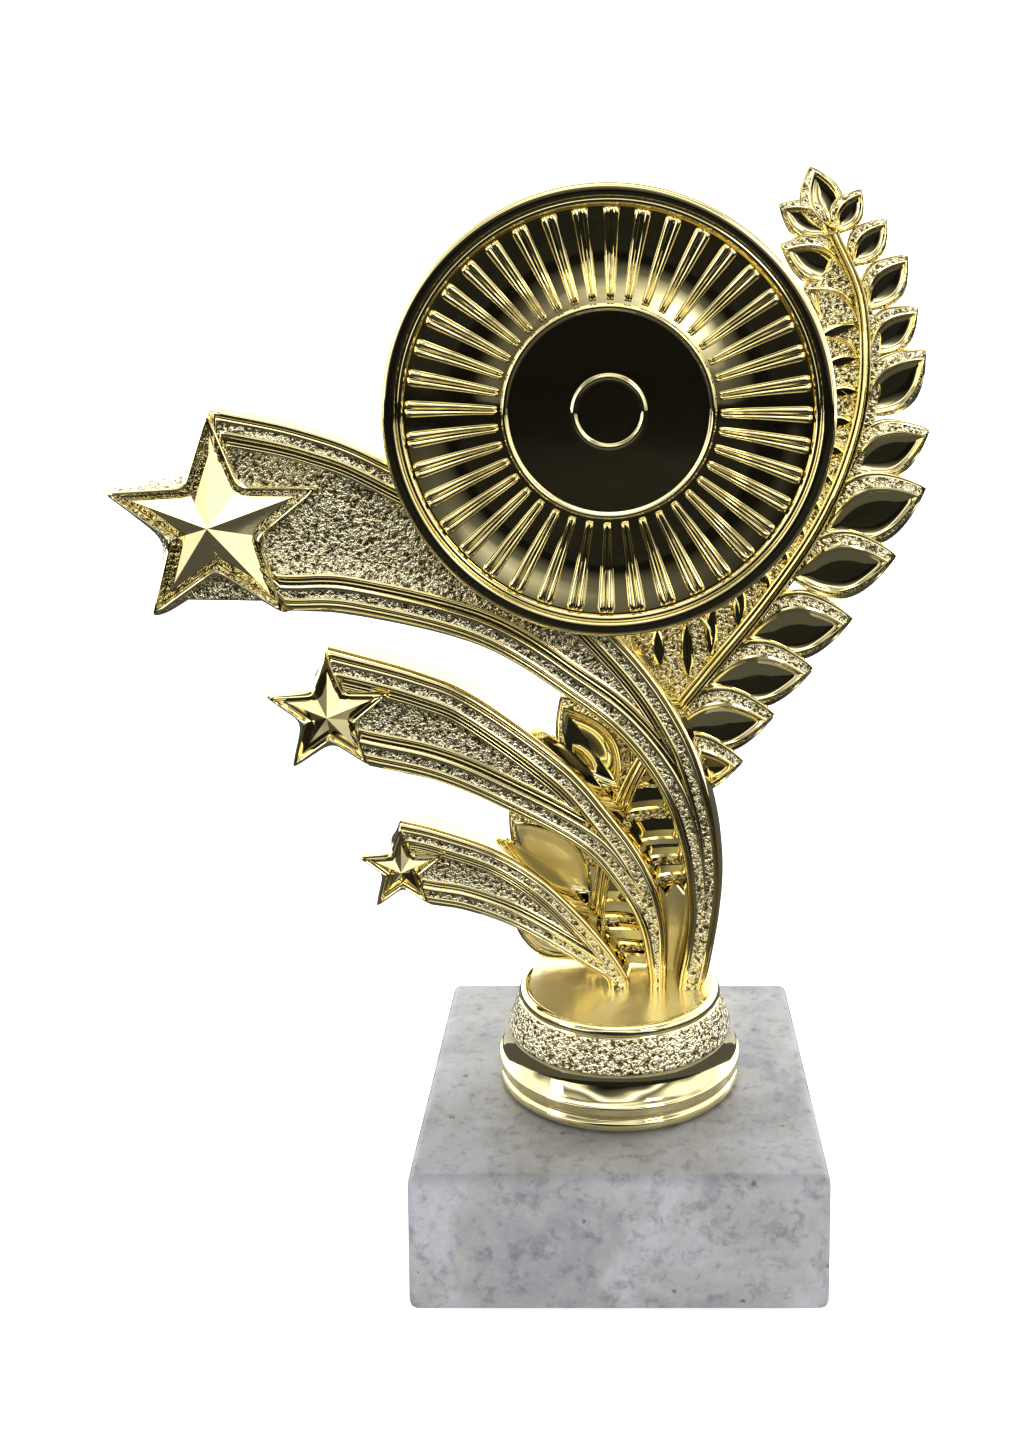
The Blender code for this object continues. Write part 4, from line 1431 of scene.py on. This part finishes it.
    def build(self) -> None:
        """Sets the studio up."""
        self.sweep()
        self.world()
        self.flag("floor_flag", self.half_width, -self.half_width, self.near_edge)
        self.flag("near_card", 1.2, self.near_edge, 0.5, glow=0.09)
        self.light("ceiling_softbox", (0.05, -0.22, 0.80), (0.42, 0.22), 0.3)
        self.light("left_window", (-0.80, -0.45, 0.34), (0.22, 0.6), 1.1, WINDOW_LIGHT)
        self.light("right_softbox", (0.50, -0.74, 0.60), (0.26, 0.26), 1.3)
        self.light("back_left_strip", (-0.55, 0.35, 0.50), (0.10, 0.5), 0.8)
        self.light("back_right_strip", (0.60, 0.30, 0.30), (0.10, 0.5), 0.8)
        self.light("front_fill", (0.25, -1.2, 0.45), (0.9, 0.5), 4.6, WINDOW_LIGHT, mirrored=False)
        self.camera()
        bpy.context.scene.view_settings.view_transform = "Standard"


# ---------------------------------------------------------------- layouts of the figure


SATIN_GOLD = PlatedGold("gold_satin", colour=(0.96, 0.86, 0.48), deep_colour=(0.92, 0.78, 0.36),
                        roughness=0.24, wave_size=3.0 * MM, wave_depth=0.10 * MM, metallic=0.7)

# each arm's edges run from its star to its foot
ARM_LAYOUTS = [
    {"name": "star_arm_large",
     "star": (-63.2, 75.8), "radius": 18.5, "facet": (-63.3, 75.7), "foot": (9.2, 13.6),
     "gusset": [(-62.5, 69.5), (-69.5, 63.6), (-56.5, 63.4)],
     "upper": [(-63.0, 94.4), (-49.3, 91.4), (-37.3, 86.8), (-17.5, 75.2), (0.7, 57.5), (10.0, 44.5),
               (14.7, 32.0), (16.3, 22.5), (16.2, 14.0), (14.6, 4.0)],
     "lower": [(-51.6, 62.0), (-41.4, 61.6), (-22.2, 56.7), (-7.6, 47.7), (0.4, 41.1), (6.4, 32.8),
               (9.7, 23.6), (10.9, 14.3), (10.5, 8.0), (9.6, 3.0)]},
    {"name": "star_arm_middle",
     "star": (-45.9, 45.5), "radius": 10.9, "facet": (-45.9, 45.4), "foot": (4.6, 7.6), "apex": 1.2,
     "upper": [(-46.0, 56.4), (-31.8, 52.4), (-22.3, 48.2), (-8.5, 37.8), (-0.9, 29.0), (3.5, 22.8),
               (6.4, 16.5), (7.7, 10.0), (7.7, 3.0)],
     "lower": [(-39.6, 36.9), (-29.7, 34.7), (-20.1, 30.8), (-7.1, 23.9), (-1.0, 17.5), (3.0, 10.7),
               (4.5, 3.0)]},
    {"name": "star_arm_small",
     "star": (-34.7, 20.2), "radius": 7.8, "facet": (-34.7, 20.1), "foot": (-1.8, 1.7),
     "border": 0.8, "apex": 0.8, "draft": 0.7, "section": RibbonSection(scale=0.72),
     "upper": [(-35.0, 28.2), (-29.0, 26.7), (-19.7, 23.4), (-12.7, 19.0), (-6.6, 13.2), (-1.7, 7.4),
               (1.4, 2.4)],
     "lower": [(-30.2, 14.2), (-24.4, 13.2), (-17.4, 10.7), (-10.4, 6.9), (-5.4, 3.8), (-2.4, 1.9)]},
]

STEM = [(33.7, 120.9), (38.1, 110.5), (38.8, 96.8), (36.3, 85.1), (31.4, 73.9), (23.8, 62.5), (15.2, 51.7),
        (8.0, 42.5), (3.0, 34.5), (-0.3, 26.5), (-2.6, 17.5), (-3.8, 9.0), (-4.2, 1.6)]
# each leaf's base, near the stem, and its tip
OUTER_LEAVES = [((34.0, 120.9), (29.8, 131.7)), ((34.9, 121.6), (38.1, 128.1)),
                ((37.2, 116.0), (42.2, 123.5)), ((38.7, 109.4), (45.6, 117.9)),
                ((39.2, 102.6), (47.5, 109.7)), ((38.5, 92.0), (48.9, 102.8)),
                ((36.8, 83.2), (49.8, 90.1)), ((32.7, 73.6), (49.4, 80.7)),
                ((27.5, 65.4), (44.9, 69.7)), ((20.2, 56.0), (38.0, 59.4)),
                ((13.8, 48.2), (31.8, 51.1)), ((8.5, 40.5), (25.6, 43.4)), ((5.0, 33.5), (20.5, 35.6))]
INNER_LEAVES = [((33.1, 120.9), (25.0, 125.7)), ((35.6, 114.4), (25.3, 119.5)),
                ((37.2, 107.8), (29.0, 113.2)), ((38.2, 100.6), (31.0, 105.6)),
                ((37.8, 92.6), (31.6, 97.6)), ((14.6, 51.8), (9.5, 63.0)),
                ((19.0, 57.2), (15.0, 66.6)), ((23.2, 62.4), (20.0, 70.4)),
                ((-0.2, 30.8), (-9.6, 46.6)), ((2.2, 35.2), (-2.8, 43.0)),
                ((-3.2, 13.4), (-18.2, 27.2)), ((-4.4, 3.0), (-18.4, 10.2))]
WEB = [(10.5, 44.0), (-1.5, 55.0), (-6.0, 64.0), (6.0, 68.0), (19.0, 74.0), (29.0, 86.0), (33.0, 100.0),
       (31.0, 112.0), (34.0, 119.0), (38.0, 112.0), (41.5, 107.0), (41.6, 96.0), (40.0, 87.0), (35.5, 76.5),
       (29.0, 66.5), (22.0, 57.5)]
WINDOWS = [((19.6, 65.4), (19.2, 57.6)), ((14.9, 62.0), (14.7, 52.8)), ((10.7, 59.0), (11.2, 49.2)),
           ((6.0, 58.2), (6.6, 51.2))]
# the outline of each root, how far it lies behind the laurel's front, and its finish
ROOTS = [([(-5.4, 1.0), (-4.2, 9.0), (-4.4, 17.0), (-7.0, 29.0), (-9.2, 37.0), (-8.0, 44.5), (-2.0, 46.0),
           (8.0, 43.0), (12.0, 40.0), (13.5, 30.0), (13.5, 16.0), (13.0, 1.0)], 1.9, Surface.POLISHED),
         ([(-16.5, 6.0), (-18.2, 15.0), (-17.6, 25.0), (-13.0, 28.0), (-9.0, 24.0), (-4.4, 17.0),
           (-4.2, 9.0), (-5.4, 0.8), (-13.0, 1.6)], 1.9, Surface.POLISHED),
         ([(5.8, 0.0), (6.0, 8.0), (6.6, 11.6), (8.9, 15.6), (12.0, 12.0), (12.6, 0.0)], 0.5, Surface.SATIN)]
# each bar's ends, its width and its finish
BARS = [((0.5, 31.2), (8.2, 31.6), 1.2, Surface.STIPPLED), ((0.6, 26.4), (10.4, 27.2), 2.3, Surface.STIPPLED),
        ((2.2, 21.8), (11.2, 22.4), 1.5, Surface.SATIN), ((3.2, 18.6), (11.8, 19.2), 1.9, Surface.STIPPLED),
        ((4.8, 15.6), (11.6, 16.4), 1.5, Surface.STIPPLED), ((-4.4, 18.4), (-4.1, 12.0), 1.9, Surface.SATIN),
        ((-4.4, 11.2), (2.6, 11.0), 2.3, Surface.SATIN), ((-4.0, 8.9), (3.8, 8.6), 1.5, Surface.STIPPLED),
        ((-4.0, 6.4), (4.6, 6.2), 2.1, Surface.SATIN), ((-3.6, 4.2), (4.8, 4.0), 1.5, Surface.STIPPLED),
        ((-3.0, 2.1), (4.8, 2.1), 1.7, Surface.SATIN)]


def dress_nodes() -> None:
    """Gives the frame's own nodes that stay in view their finishes."""
    steel = ZincSteel().make()
    felt = PressedFelt().make()
    for name, material in (("stud", steel), ("captive_nut", steel), ("lower_nut", steel), ("washer", steel),
                           ("felt_sheet", felt)):
        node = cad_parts[name]
        node.data.materials.clear()
        node.data.materials.append(material)
        LOG.info("%s: dressed in %s", name, material.name)


def main() -> None:
    """Builds the trophy and its studio."""
    logging.basicConfig(level=logging.INFO, format="%(name)s: %(message)s")
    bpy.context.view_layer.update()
    levels = Levels.from_frame()
    golds = Golds(PlatedGold().make(), StippledGold().make(), SATIN_GOLD.make())
    MarbleBlock(BlockMarble().make()).build()
    Collar(golds).build()
    RibbedDisc(golds, levels).build()
    for layout in ARM_LAYOUTS:
        StarArm(golds=golds, levels=levels, **layout).build()
    Laurel(golds, levels, STEM, OUTER_LEAVES, INNER_LEAVES, WEB, ROOTS, WINDOWS, BARS).build()
    dress_nodes()
    Studio().build()


if __name__ == "__main__":
    main()
